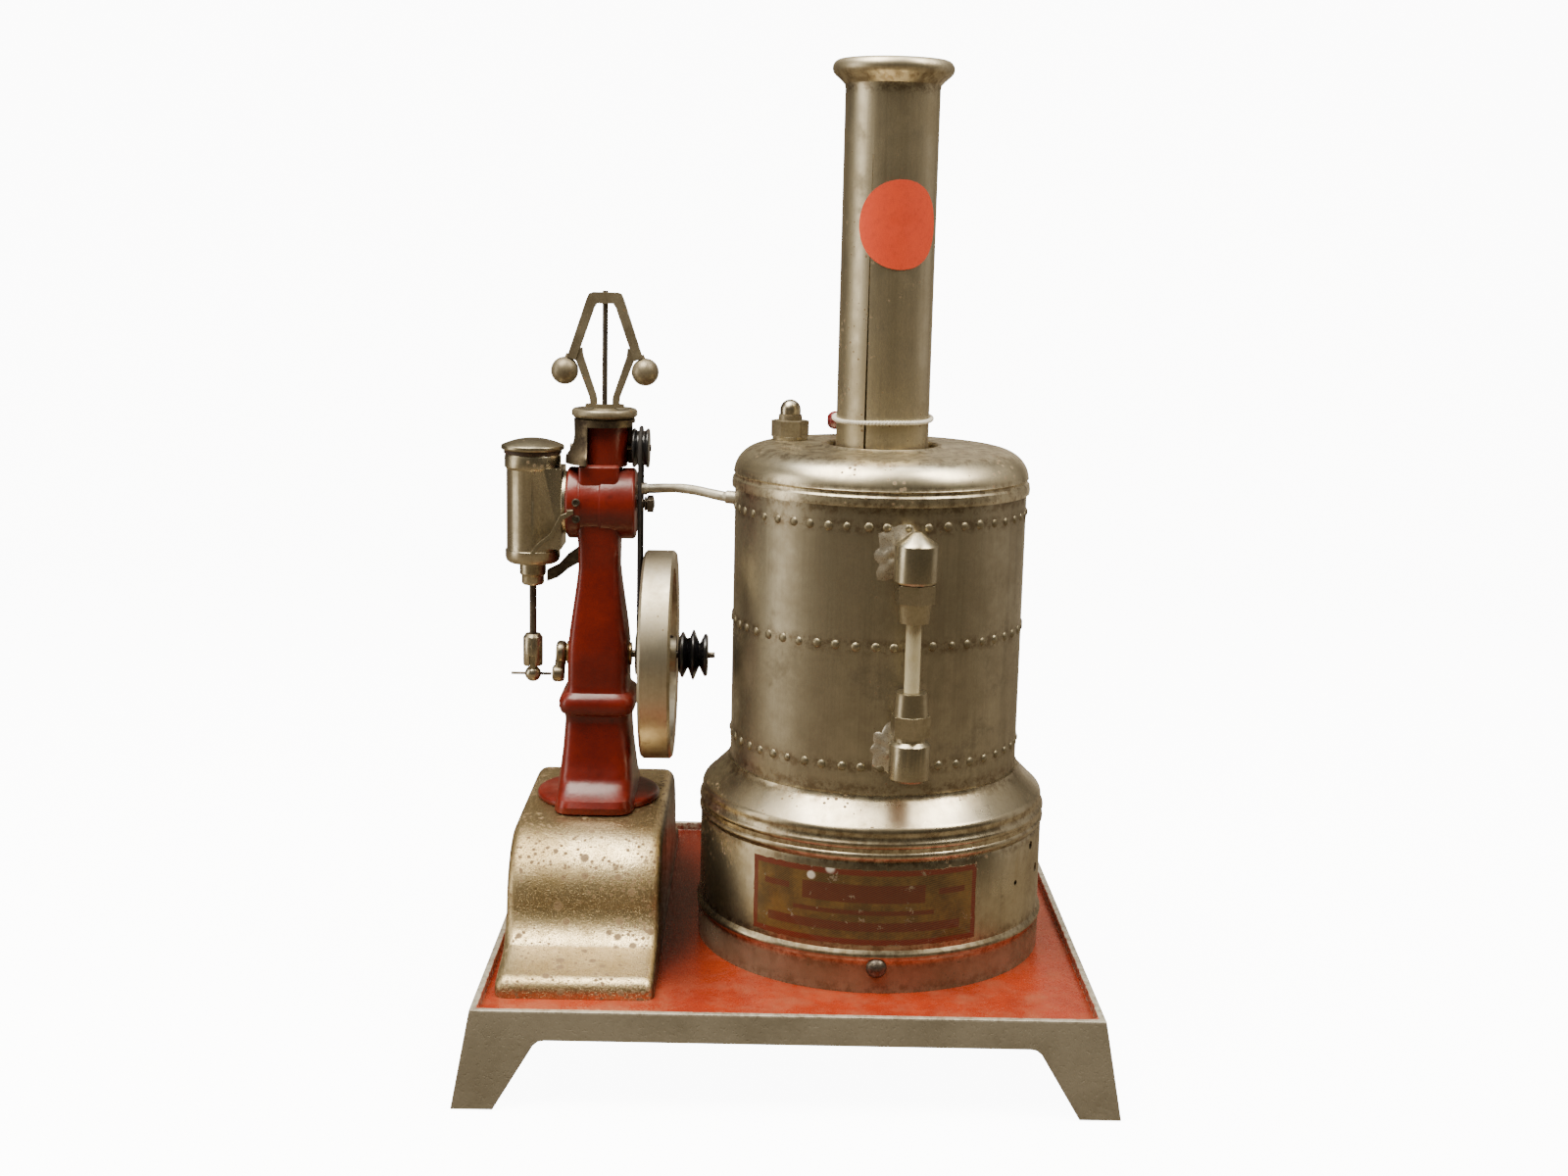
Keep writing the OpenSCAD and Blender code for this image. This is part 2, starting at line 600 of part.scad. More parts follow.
// ---- Boiler, firebox and heater ----
// Vent holes in the firebox: degrees from the front, height, radius
vent_holes = [[63.3, 60.1, 1.3], [70.2, 51.3, 1.5], [52.6, 51.1, 0.8], [-110, 55, 1.4], [118, 55, 1.4]];
fire_top_z = 80.6;
module firebox_outline() {
    outer = concat([[fire_r, floor_z], [fire_r, 33.4]], arc(fire_r - 0.9, 35.2, 1.6, -40, 40, 5),
        [[fire_r - 0.4, 37], [fire_r - 0.4, 63.6]], arc(fire_r - 1.2, 65, 1.4, -50, 50, 4),
        arc(fire_r - 1.2, 68.2, 1.4, -50, 50, 4), [[fire_r - 0.5, 70], [fire_r - 0.6, 71.6]],
        arc(fire_r - 3.2, 71.4, 2.6, 20, 62, 4), [[boil_r + 1.1, 79.4], [boil_r + 0.85, fire_top_z]]);
    inner = [[boil_r + 0.05, fire_top_z], [boil_r + 0.05, 78.6], [fire_r - 3, 72.2], [fire_r - 1.7, 70.6],
        [fire_r - 1.4, 35], [fire_r - 1.0, floor_z]];
    polygon(concat(outer, inner));
}
module firebox() {
    nickel() difference() {
        at_boiler() union() {
            rotate_extrude($fn = 96) firebox_outline();
            for (a = firebox_screw_a) rotate(a) translate([foot_r, -5, floor_z]) difference() {
                translate([-5, 0, 0]) cube([9.8, 10, 1.6]);
                translate([0, 5, -1]) cylinder(r = 1.55, h = 6, $fn = 24);
            }
        }
        at_boiler(44) translate([-11.2, fire_r - 12, -8]) cube([22.4, 24, 16]);
        at_boiler(31.8) rotate([90, 0, 0]) cylinder(r = 1.3, h = 80, $fn = 24);
        at_boiler(31.8) translate([0, -fire_r - 0.04, 0]) rotate([90, 0, 0]) cylinder(r = 3.1, h = 5);
        for (v = vent_holes)
            at_boiler(v[1]) rotate(v[0] - 90) rotate([0, 90, 0]) cylinder(r = v[2], h = 80, $fn = 24);
    }
}
module boiler_shell() {
    nickel() at_boiler(58) difference() {
        cylinder(r = boil_r, h = 108, $fn = 96);
        translate([0, 0, -1]) cylinder(r = boil_r - sheet, h = 120, $fn = 96);
        rotate([0, 0, gauge_a - 90]) for (z = [149.7 - 58, 93 - 58])
            translate([boil_r - 5, 0, z]) rotate([0, 90, 0]) cylinder(r = 3.3, h = 10, $fn = 32);
        translate([-boil_r + 5, 0, 160.1 - 58]) rotate([0, -90, 0]) cylinder(r = 1.9, h = 10, $fn = 24);
    }
}
module boiler_cap() {
    edge_r = boil_r + 0.85;
    turn_r = 9.6;
    nickel() at_boiler() difference() {
        rotate_extrude($fn = 96) polygon(concat(
            [[edge_r - 0.8, 164.2], [edge_r, 164.2], [edge_r, 166.4]],
            arc(edge_r - turn_r, cap_z - turn_r, turn_r, 0, 90, 10),
            [[well_r + 1.6, cap_z], [well_r + 1.1, cap_z + 0.7], [well_r + 0.4, cap_z + 0.7], [well_r, cap_z],
             [well_r, well_z], [0, well_z], [0, well_z - sheet], [well_r + sheet, well_z - sheet],
             [well_r + sheet, cap_z - sheet]],
            arc(edge_r - turn_r, cap_z - turn_r, turn_r - sheet, 90, 0, 10)));
        translate([valve_p[0] - boil_x, valve_p[1] - boil_y, 170]) cylinder(r = 2.6, h = 10, $fn = 32);
        translate([whistle_p[0] - boil_x, whistle_p[1] - boil_y, 170]) cylinder(r = 2.6, h = 10, $fn = 32);
    }
}
module boiler_bottom() {
    nickel() at_boiler(58.2) difference() {
        cylinder(r = boil_r - sheet - 0.02, h = 6, $fn = 96);
        translate([0, 0, sheet]) cylinder(r = boil_r - 2 * sheet, h = 6, $fn = 96);
    }
}
module heater_plate() {
    color("#4a4038") at_boiler(48.8) {
        cylinder(r = 40, h = 1.2);
        for (r = [12, 20, 28, 36]) translate([0, 0, 1.2]) difference() {
            cylinder(r = r + 1.5, h = 4);
            translate([0, 0, -1]) cylinder(r = r - 1.5, h = 6);
        }
        translate([0, 0, 5.2]) cylinder(r = 40, h = 4.2);
    }
}
inlet_y = boil_y + fire_r;
module inlet_block() {
    color("#2b2522") translate([boil_x, inlet_y, 44]) difference() {
        union() {
            translate([-11, -8, -7.8]) cube([22, 9.4, 15.6]);
            translate([-13, 0.8, -9.4]) cube([26, 1.3, 18.8]);
        }
        for (s = [-1, 1]) translate([s * 6.35, 3, 0]) rotate([90, 0, 0]) cylinder(r = 1.95, h = 20, $fn = 32);
    }
}
module inlet_pins() {
    color("#b59a5c") for (s = [-1, 1]) translate([boil_x + s * 6.35, inlet_y, 44]) rotate([90, 0, 0]) {
        translate([0, 0, -15]) cylinder(r = 2.25, h = 12.8, $fn = 32);
        translate([0, 0, -2.4]) cylinder(r = 1.9, h = 12.4, $fn = 32);
    }
}
module firebox_screw() {
    old_steel() at_boiler(31.8) translate([0, -fire_r - 0.05, 0]) rotate([90, 0, 0]) {
        rotate_extrude() polygon(concat([[0, 0], [3, 0]], arc(0, -1.2, 3.2, 24, 90, 6)));
        translate([0, 0, -5]) cylinder(r = 1.25, h = 5.2, $fn = 24);
    }
}
module chimney() {
    wall = 0.6;
    nickel() at_boiler() difference() {
        rotate_extrude($fn = 96) polygon(concat(
            [[chim_r - wall, well_z + 0.1], [well_r - 0.3, well_z + 0.1], [well_r - 0.3, well_z + 0.9],
             [chim_r, well_z + 0.9], [chim_r, chim_top_z - 8.4]],
            [[chim_r + 0.5, chim_top_z - 6.9], [chim_r + 2.4, chim_top_z - 5.6]],
            arc(chim_r + 1.4, chim_top_z - 2.7, 2.5, -40, 140, 10),
            [[chim_r - wall, chim_top_z - 3.4]]));
        rotate(-115) translate([chim_r - 2, -0.35, 182]) cube([4, 0.7, 60]);
    }
}

// ---- Water gauge ----
module at_gauge(z = 0) {
    at_boiler(z) rotate([0, 0, gauge_a - 90]) translate([gauge_d, 0, 0]) children();
}
module gauge_fittings() {
    color("#b8b09a") at_gauge() {
        difference() {
            union() {
                rotate_extrude() polygon([[0, 144.2], [5.7, 144.2], [6.1, 144.8], [6.1, 154.8],
                    [5.6, 155.4], [1.2, 158.5], [0, 158.5]]);
                translate([-7.2, 0, 149.7]) rotate([0, 90, 0]) cylinder(r = 3.2, h = 7);
            }
            translate([0, 0, 140]) cylinder(r = 2.3, h = 12);
        }
        difference() {
            union() {
                rotate_extrude() polygon([[0, 87.6], [5.3, 87.6], [5.8, 88.2], [5.8, 98], [4.6, 99],
                    [4.6, 100.2], [0, 100.2]]);
                translate([-7.2, 0, 93]) rotate([0, 90, 0]) cylinder(r = 3.2, h = 7);
            }
            translate([0, 0, 95]) cylinder(r = 2.3, h = 8);
        }
    }
}
module gauge_nuts() {
    color("#b8b09a") at_gauge() {
        difference() {
            union() {
                translate([0, 0, 138.6]) cylinder(r = 5.9, h = 5.3, $fn = 6);
                translate([0, 0, 133]) cylinder(r1 = 4.3, r2 = 5, h = 5.7);
            }
            translate([0, 0, 130]) cylinder(r = 2.3, h = 20);
        }
        difference() {
            union() {
                translate([0, 0, 100.4]) cylinder(r = 5.9, h = 6, $fn = 6);
                translate([0, 0, 106.3]) cylinder(r1 = 5, r2 = 4.5, h = 6.7);
            }
            translate([0, 0, 95]) cylinder(r = 2.3, h = 20);
        }
    }
}
module gauge_glass() {
    color("#e6ddb8") at_gauge(97) difference() {
        cylinder(r = 2.2, h = 50);
        translate([0, 0, -1]) cylinder(r = 1.4, h = 60);
    }
}

// ---- Safety valve and whistle ----
module valve_body() {
    nickel() translate([valve_p[0], valve_p[1], 0]) difference() {
        union() {
            translate([0, 0, cap_z - 4]) cylinder(r = 2.5, h = 4.2);
            translate([0, 0, cap_z + 0.05]) cylinder(r = 5.4, h = 1.1);
            translate([0, 0, cap_z + 1]) cylinder(r = 5.8, h = 5, $fn = 6);
            translate([0, 0, cap_z + 5.9]) cylinder(r = 3.6, h = 1.8);
        }
        translate([0, 0, cap_z - 6]) cylinder(r = 1.2, h = 20);
    }
}
module valve_plunger() {
    nickel() translate([valve_p[0], valve_p[1], 0]) {
        translate([0, 0, cap_z + 1]) cylinder(r = 1.15, h = 7);
        translate([0, 0, cap_z + 7.75]) rotate_extrude()
            polygon(concat([[0, 0], [3.2, 0], [3.2, 1.4]], arc(0, 1.4, 3.2, 0, 90, 8)));
    }
}
module whistle_body() {
    nickel() translate([whistle_p[0], whistle_p[1], 0]) difference() {
        union() {
            translate([0, 0, cap_z - 4]) cylinder(r = 2.5, h = 4.2);
            translate([0, 0, cap_z + 0.05]) cylinder(r = 5.4, h = 3, $fn = 6);
            translate([0, 0, cap_z + 3]) cylinder(r = 3.4, h = 8);
            translate([0, 0, cap_z + 11]) cylinder(r = 3.8, h = 14);
        }
        translate([0, 0, cap_z + 12]) cylinder(r = 3.2, h = 12);
        translate([-5, -1.4, cap_z + 13]) cube([5, 2.8, 2.4]);
        translate([-5, -0.9, lever_z - 1.4]) cube([5, 1.8, 2.8]);
        translate([-2.2, 0, lever_z]) rotate([90, 0, 0]) cylinder(r = 0.6, h = 10, center = true, $fn = 24);
    }
}
module whistle_lever() {
    old_steel() translate([whistle_p[0], whistle_p[1], lever_z]) {
        translate([-9.6, -0.6, -0.7]) cube([8, 1.2, 1.4]);
        translate([-2.2, 0, 0]) rotate([90, 0, 0]) cylinder(r = 0.55, h = 6.4, center = true, $fn = 24);
    }
}
module whistle_knob() {
    color("#5e1a16") translate([knob_x, whistle_p[1], lever_z]) rotate([0, 90, 0]) rotate_extrude()
        polygon(concat([[0, -2.6]], arc(0, 0, 2.9, -60, 50, 10), [[1.5, 2.3], [1.5, 2.2], [0, 2.2]]));
}

// ---- Paper and string ----
module lot_sticker() {
    r = 12.8;
    color("#f0552f") at_boiler() intersection() {
        difference() {
            translate([0, 0, 220]) cylinder(r = chim_r + 0.28, h = 50, $fn = 96);
            translate([0, 0, 219]) cylinder(r = chim_r + 0.05, h = 60, $fn = 96);
        }
        rotate([0, 0, 12 - 90]) translate([0, 0, 242.2]) rotate([0, 90, 0]) cylinder(r = r, h = 30);
    }
}
module tag_string() {
    color("#e8e2d2") at_boiler(185.2) rotate([1.2, 0, 0]) rotate_extrude($fn = 96)
        translate([chim_r + 0.62, 0]) circle(0.55, $fn = 16);
}

base_tray();
base_screws();
pedestal();
engine_column();
column_bolt();
shaft_bushes();
port_plate();
retaining_clip();
guide_bracket();
steam_pipe();
pipe_union();
governor_bracket();
governor_belt();
cylinder_barrel();
cylinder_cap();
cap_gasket();
lower_cover();
gland_nut();
trunnion_pin();
trunnion_spring();
trunnion_nut();
piston();
piston_rod();
rod_end();
big_end_ball();
crank_pin();
crank_web();
crankshaft();
flywheel();
step_pulley();
drive_pulley();
set_screws();
governor_axle();
governor_pulley();
friction_wheel();
governor_spindle();
friction_disc();
governor_disc();
governor_yoke();
governor_balls();
governor_links();
boiler_shell();
boiler_cap();
boiler_bottom();
firebox();
heater_plate();
inlet_block();
inlet_pins();
firebox_screw();
chimney();
gauge_fittings();
gauge_nuts();
gauge_glass();
valve_body();
valve_plunger();
whistle_body();
whistle_lever();
whistle_knob();
lot_sticker();
tag_string();
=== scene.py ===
"""Looks of the toy stationary steam engine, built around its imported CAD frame. Lengths in the tables are mm."""

import json
import math
import random

import bmesh
import bpy
from mathutils import Matrix, Vector, noise

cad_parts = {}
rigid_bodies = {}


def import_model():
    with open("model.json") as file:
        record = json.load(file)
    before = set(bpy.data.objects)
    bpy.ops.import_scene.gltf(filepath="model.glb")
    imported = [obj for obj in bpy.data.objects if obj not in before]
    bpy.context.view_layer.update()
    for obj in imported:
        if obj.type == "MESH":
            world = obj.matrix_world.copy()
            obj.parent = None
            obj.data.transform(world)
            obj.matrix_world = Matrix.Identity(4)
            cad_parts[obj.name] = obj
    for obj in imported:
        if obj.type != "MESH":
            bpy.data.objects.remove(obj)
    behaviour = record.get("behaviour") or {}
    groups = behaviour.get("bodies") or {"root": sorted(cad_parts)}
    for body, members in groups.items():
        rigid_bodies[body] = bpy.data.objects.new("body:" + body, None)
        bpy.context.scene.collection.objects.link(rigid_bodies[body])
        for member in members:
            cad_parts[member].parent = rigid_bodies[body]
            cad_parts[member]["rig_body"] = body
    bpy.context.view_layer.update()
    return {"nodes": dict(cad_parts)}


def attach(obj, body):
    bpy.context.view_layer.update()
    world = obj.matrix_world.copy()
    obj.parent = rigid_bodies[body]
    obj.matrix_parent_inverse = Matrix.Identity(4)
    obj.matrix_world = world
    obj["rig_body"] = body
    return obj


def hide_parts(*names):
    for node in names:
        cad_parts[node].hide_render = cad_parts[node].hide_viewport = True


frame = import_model()
NODES = frame["nodes"]
MM = 0.001
RND = random.Random(41)

ENGINE = (-60.4, 3.0)           # column's axis, x and y
BOILER = (25.4, -10.8)          # boiler's axis, x and y
PEDESTAL_X = -60.75
GOVERNOR_X = -59.2
SHAFT_Z = 108.2
TRUNNION_Z = 155.8
BOILER_R = 43.95
BOILER_SHEET = 0.8
RIVET_ROWS = (88.87, 124.15, 158.5)
RIVETS_IN_ROW = 48
FIREBOX_R = 53.05
CHIMNEY_R = 13.9
CHIMNEY_TOP = 289.6
CAP_Z = 176.8                   # flat top of the boiler's cap
GAUGE_TURN = 8.5                # degrees round the boiler from its front
TRAY_INSIDE = 86.2              # half width of the tray's enamelled floor
FLOOR_Z = 24.2                  # top of the tray's floor
SMOOTH_ANGLE = math.radians(32)
LUMPY_ANGLE = math.radians(70)

RUST_BROWN = (0.20, 0.125, 0.06)
# painted shade for the pedestal's dark right side
PEDESTAL_SIDE_SHADE = (0.030, 0.022, 0.014)
# tone of the firebox's darker, less metallic lower band
LOW_BAND_TONE = (0.13, 0.095, 0.05)
CHIPPED_EDGE = (0.055, 0.040, 0.028)


# ---------------------------------------------------------------- shader helpers
class Tree:
    """Adds nodes to a material's or a group's tree."""

    def __init__(self, tree):
        self.tree = tree

    def add(self, kind, **settings):
        node = self.tree.nodes.new(kind)
        for key, value in settings.items():
            setattr(node, key, value)
        return node

    def put(self, value, socket):
        """Links a socket to another, or sets it to a number or a colour."""
        if isinstance(value, bpy.types.NodeSocket):
            self.tree.links.new(value, socket)
        elif isinstance(value, (tuple, list)) and len(value) == 3 and socket.type == "RGBA":
            socket.default_value = (*value, 1)
        else:
            socket.default_value = value

    def math(self, operation, a, b=None, clamp=False):
        node = self.add("ShaderNodeMath", operation=operation, use_clamp=clamp)
        self.put(a, node.inputs[0])
        if b is not None:
            self.put(b, node.inputs[1])
        return node.outputs[0]

    def step(self, value, low, high, out_low=0.0, out_high=1.0):
        """A smooth step from out_low to out_high as value goes from low to high."""
        node = self.add("ShaderNodeMapRange", interpolation_type="SMOOTHSTEP")
        for number, v in enumerate((value, low, high, out_low, out_high)):
            self.put(v, node.inputs[number])
        return node.outputs[0]

    def colour(self, factor, a, b, mode="MIX"):
        node = self.add("ShaderNodeMix", data_type="RGBA", blend_type=mode)
        self.put(factor, node.inputs["Factor"])
        self.put(a, node.inputs[6])
        self.put(b, node.inputs[7])
        return node.outputs[2]

    def value(self, factor, a, b):
        node = self.add("ShaderNodeMix", data_type="FLOAT")
        self.put(factor, node.inputs["Factor"])
        self.put(a, node.inputs[2])
        self.put(b, node.inputs[3])
        return node.outputs[0]

    def place(self):
        return self.add("ShaderNodeTexCoord").outputs["Object"]

    def split(self, vector):
        """The x, y and z of a vector."""
        node = self.add("ShaderNodeSeparateXYZ")
        self.put(vector, node.inputs[0])
        return node.outputs

    def most(self, masks):
        """The largest of several masks."""
        top = masks[0]
        for mask in masks[1:]:
            top = self.math("MAXIMUM", top, mask)
        return top

    def without(self, mask):
        return self.math("SUBTRACT", 1.0, mask)

    def noise(self, vector, scale, detail=3.0, rough=0.55, seed=0.0):
        node = self.add("ShaderNodeTexNoise", noise_dimensions="4D")
        self.put(vector, node.inputs["Vector"])
        self.put(scale, node.inputs["Scale"])
        self.put(seed, node.inputs["W"])
        node.inputs["Detail"].default_value = detail
        node.inputs["Roughness"].default_value = rough
        return node.outputs["Fac"]


def group(name, inputs, outputs):
    """A new shader node group with float inputs; returns its Tree, its inputs and its output node."""
    tree = bpy.data.node_groups.new(name, "ShaderNodeTree")
    for label, default in inputs:
        socket = tree.interface.new_socket(label, in_out="INPUT", socket_type="NodeSocketFloat")
        socket.default_value = default
    for label in outputs:
        tree.interface.new_socket(label, in_out="OUTPUT", socket_type="NodeSocketFloat")
    t = Tree(tree)
    return t, t.add("NodeGroupInput").outputs, t.add("NodeGroupOutput").inputs


def tinted(colour, share):
    """A colour made darker or lighter by a share."""
    return tuple(min(1.0, share * c) for c in colour)


def tarnish_group():
    """Cloudy patches with ragged edges."""
    inputs = [("Scale", 40.0), ("Coverage", 0.5), ("Softness", 0.15), ("Seed", 0.0)]
    t, given, out = group("tarnish", inputs, ["Mask"])
    spot = t.place()
    broad = t.noise(spot, given["Scale"], 4.0, 0.6, given["Seed"])
    fine = t.noise(spot, t.math("MULTIPLY", given["Scale"], 9.0), 3.0, 0.65, given["Seed"])
    both = t.math("ADD", t.math("MULTIPLY", broad, 0.75), t.math("MULTIPLY", fine, 0.25))
    edge = t.math("SUBTRACT", 0.78, t.math("MULTIPLY", given["Coverage"], 0.5))
    low = t.math("SUBTRACT", edge, given["Softness"])
    high = t.math("ADD", edge, given["Softness"])
    t.put(t.step(both, low, high), out["Mask"])
    return t.tree


def specks_group():
    """Small dots that gather in clusters."""
    t, given, out = group("specks", [("Scale", 400.0), ("Density", 0.3), ("Seed", 0.0)], ["Mask"])
    spot = t.place()
    moved = t.add("ShaderNodeVectorMath", operation="ADD")
    t.put(spot, moved.inputs[0])
    t.put(given["Seed"], moved.inputs[1])
    cells = t.add("ShaderNodeTexVoronoi", feature="F1")
    t.put(moved.outputs[0], cells.inputs["Vector"])
    t.put(given["Scale"], cells.inputs["Scale"])
    where = t.noise(spot, t.math("MULTIPLY", given["Scale"], 0.11), 3.0, 0.6, given["Seed"])
    low = t.math("SUBTRACT", 0.66, t.math("MULTIPLY", given["Density"], 0.34))
    reach = t.math("MULTIPLY", t.step(where, low, t.math("ADD", low, 0.26)), 0.36)
    dot = t.step(cells.outputs["Distance"], t.math("MULTIPLY", reach, 0.55), reach, 1.0, 0.0)
    t.put(t.math("MULTIPLY", dot, t.step(reach, 0.02, 0.06)), out["Mask"])
    return t.tree


def wear_group():
    """Broken wear along the outer edges."""
    t, given, out = group("edge_wear", [("Radius", 0.0006), ("Amount", 0.5), ("Seed", 0.0)], ["Mask"])
    soft = t.add("ShaderNodeBevel", samples=6)
    t.put(given["Radius"], soft.inputs["Radius"])
    plain = t.add("ShaderNodeNewGeometry").outputs["Normal"]
    dot = t.add("ShaderNodeVectorMath", operation="DOT_PRODUCT")
    t.put(soft.outputs["Normal"], dot.inputs[0])
    t.put(plain, dot.inputs[1])
    turned = t.without(dot.outputs["Value"])
    broken = t.noise(t.place(), 260.0, 4.0, 0.7, given["Seed"])
    edge = t.step(turned, 0.02, 0.16)
    sound_below = t.math("SUBTRACT", 0.72, t.math("MULTIPLY", given["Amount"], 0.4))
    t.put(t.math("MULTIPLY", edge, t.step(broken, sound_below, 0.74)), out["Mask"])
    return t.tree


def grain_group():
    """Fine grain, drawn out along Z when Along Z is small."""
    t, given, out = group("brushed_grain", [("Scale", 900.0), ("Along Z", 0.04), ("Seed", 0.0)], ["Height"])
    x, y, z = t.split(t.place())
    spot = t.add("ShaderNodeCombineXYZ")
    t.put(x, spot.inputs[0])
    t.put(y, spot.inputs[1])
    t.put(t.math("MULTIPLY", z, given["Along Z"]), spot.inputs[2])
    t.put(t.noise(spot.outputs[0], given["Scale"], 3.0, 0.6, given["Seed"]), out["Height"])
    return t.tree


def cast_group():
    """The rough skin of a sand casting, and its pits."""
    t, given, out = group("cast_skin", [("Scale", 700.0), ("Seed", 0.0)], ["Height", "Pits"])
    spot = t.place()
    soft = t.noise(spot, given["Scale"], 4.0, 0.6, given["Seed"])
    deep = t.noise(spot, t.math("MULTIPLY", given["Scale"], 2.3), 2.0, 0.5, given["Seed"])
    pits = t.step(deep, 0.57, 0.66)
    t.put(t.math("SUBTRACT", soft, t.math("MULTIPLY", pits, 0.6)), out["Height"])
    t.put(pits, out["Pits"])
    return t.tree


def dust_group():
    """Dust on faces that look up."""
    t, given, out = group("settled_dust", [("Amount", 0.4), ("Seed", 0.0)], ["Mask"])
    normal = t.add("ShaderNodeNewGeometry").outputs["Normal"]
    up = t.step(t.split(normal)[2], 0.45, 0.95)
    cloud = t.noise(t.place(), 90.0, 5.0, 0.7, given["Seed"])
    t.put(t.math("MULTIPLY", t.math("MULTIPLY", up, t.step(cloud, 0.4, 0.72)), given["Amount"]), out["Mask"])
    return t.tree


GROUPS = {
    "tarnish": tarnish_group(),
    "specks": specks_group(),
    "wear": wear_group(),
    "grain": grain_group(),
    "cast": cast_group(),
    "dust": dust_group(),
}


class Paint(Tree):
    """A material being built, with its Principled shader at hand."""

    def __init__(self, name):
        self.material = bpy.data.materials.new(name)
        self.material.use_nodes = True
        super().__init__(self.material.node_tree)
        self.shader = self.tree.nodes["Principled BSDF"]

    def effect(self, kind, **values):
        """A shader node group with its own values, as its outputs."""
        node = self.add("ShaderNodeGroup")
        node.node_tree = GROUPS[kind]
        for key, value in values.items():
            self.put(value, node.inputs[key.replace("_", " ")])
        return node.outputs

    def use(self, kind, output="Mask", **values):
        return self.effect(kind, **values)[output]

    def bump(self, height, distance, strength=1.0, under=None):
        node = self.add("ShaderNodeBump")
        node.inputs["Strength"].default_value = strength
        node.inputs["Distance"].default_value = distance
        self.put(height, node.inputs["Height"])
        if under is not None:
            self.put(under, node.inputs["Normal"])
        return node.outputs["Normal"]

    def set(self, **values):
        """Sets or links the Principled shader's inputs and gives the material."""
        for key, value in values.items():
            self.put(value, self.shader.inputs[key.replace("_", " ")])
        return self.material


def nickel_material(name, clean, dull, rough, seed, cast=0.0, brushed=0.0, age=0.5, rust=0.3, scale=45.0,
                    streaks=0.0, grime_rows=(), chipped=0.0, darker_below=None, shaded_right_of=None,
                    metal=1.0):
    """Old nickel plate: clean and dulled metal in patches, brown bloom, rust specks and dark scratches.

    cast gives a casting's skin, brushed an upright grain, streaks dark runs and chipped worn edges. Dirt
    gathers at the heights in grime_rows, the metal is darker and less metallic below a given height, and
    painted shade darkens the side to the right of a given x, all in mm.
    """
    p = Paint(name)
    sideways, _, upward = p.split(p.place())
    patches = p.use("tarnish", Scale=scale, Coverage=age, Softness=0.16, Seed=seed)
    bloom = p.use("tarnish", Scale=scale * 2.6, Coverage=age * 0.62, Softness=0.07, Seed=seed + 3)
    specks = p.use("specks", Scale=520.0, Density=rust, Seed=seed)
    big_specks = p.use("specks", Scale=190.0, Density=rust * 0.75, Seed=seed + 7)
    spots = p.math("MAXIMUM", specks, big_specks)
    browned = tuple(0.62 * c + 0.12 * b for c, b in zip(dull, RUST_BROWN))
    tone = p.colour(patches, clean, dull)
    tone = p.colour(p.math("MULTIPLY", bloom, 0.55), tone, browned)
    grain = p.use("grain", "Height", Scale=1500.0, Along_Z=0.03 if brushed else 1.0, Seed=seed)
    tone = p.colour(p.math("MULTIPLY", p.step(grain, 0.35, 0.75), 0.12), tone, tinted(dull, 0.55))
    if streaks:
        runs = p.use("grain", "Height", Scale=170.0, Along_Z=0.07, Seed=seed + 1)
        tone = p.colour(p.math("MULTIPLY", p.step(runs, 0.5, 0.72), streaks), tone, tinted(dull, 0.5))
    if grime_rows:
        dirt = p.noise(p.place(), 330.0, 4.0, 0.7, seed)
        away = [p.math("ABSOLUTE", p.math("SUBTRACT", upward, z * MM)) for z in grime_rows]
        near = p.most([p.step(gap, 0.6 * MM, 3.4 * MM, 1.0, 0.0) for gap in away])
        near = p.math("MULTIPLY", near, p.step(dirt, 0.42, 0.62))
        tone = p.colour(p.math("MULTIPLY", near, 0.6), tone, tinted(RUST_BROWN, 0.7))
    tone = p.colour(p.math("MULTIPLY", spots, 0.85), tone, RUST_BROWN)
    plated = p.value(spots, metal, 0.15)
    if chipped:
        lost = p.use("wear", Radius=0.0009, Amount=chipped, Seed=seed)
        tone = p.colour(lost, tone, CHIPPED_EDGE)
        plated = p.math("MULTIPLY", plated, p.without(p.math("MULTIPLY", lost, 0.6)))
    # darker and less metallic towards the bottom, below the given height
    if darker_below:
        low_band = p.step(upward, (darker_below - 1.5) * MM, darker_below * MM, 0.55, 0.0)
        tone = p.colour(low_band, tone, LOW_BAND_TONE)
        plated = p.math("MULTIPLY", plated, p.without(low_band))
    # painted shade: the side to the right of the given x is darkened as if in shadow
    if shaded_right_of:
        side_shade = p.step(sideways, shaded_right_of * MM, (shaded_right_of + 1.2) * MM, 0.0, 0.88)
        tone = p.colour(side_shade, tone, PEDESTAL_SIDE_SHADE)
    height = grain
    if cast:
        skin = p.effect("cast", Scale=1250.0, Seed=seed)
        height = skin["Height"]
        tone = p.colour(p.math("MULTIPLY", skin["Pits"], 0.7), tone, RUST_BROWN)
    roughness = p.math("ADD", p.value(patches, rough, rough + 0.14), p.math("MULTIPLY", bloom, 0.10))
    roughness = p.math("ADD", roughness, p.math("MULTIPLY", spots, 0.3), clamp=True)
    normal = p.bump(height, 0.00012 if cast else 0.000025, cast or max(brushed, 0.25))
    dents = p.noise(p.place(), 28.0, 2.0, 0.5, seed)
    normal = p.bump(dents, 0.0012, 0.35, normal)
    return p.set(Base_Color=tone, Metallic=plated, Roughness=roughness, Normal=normal)


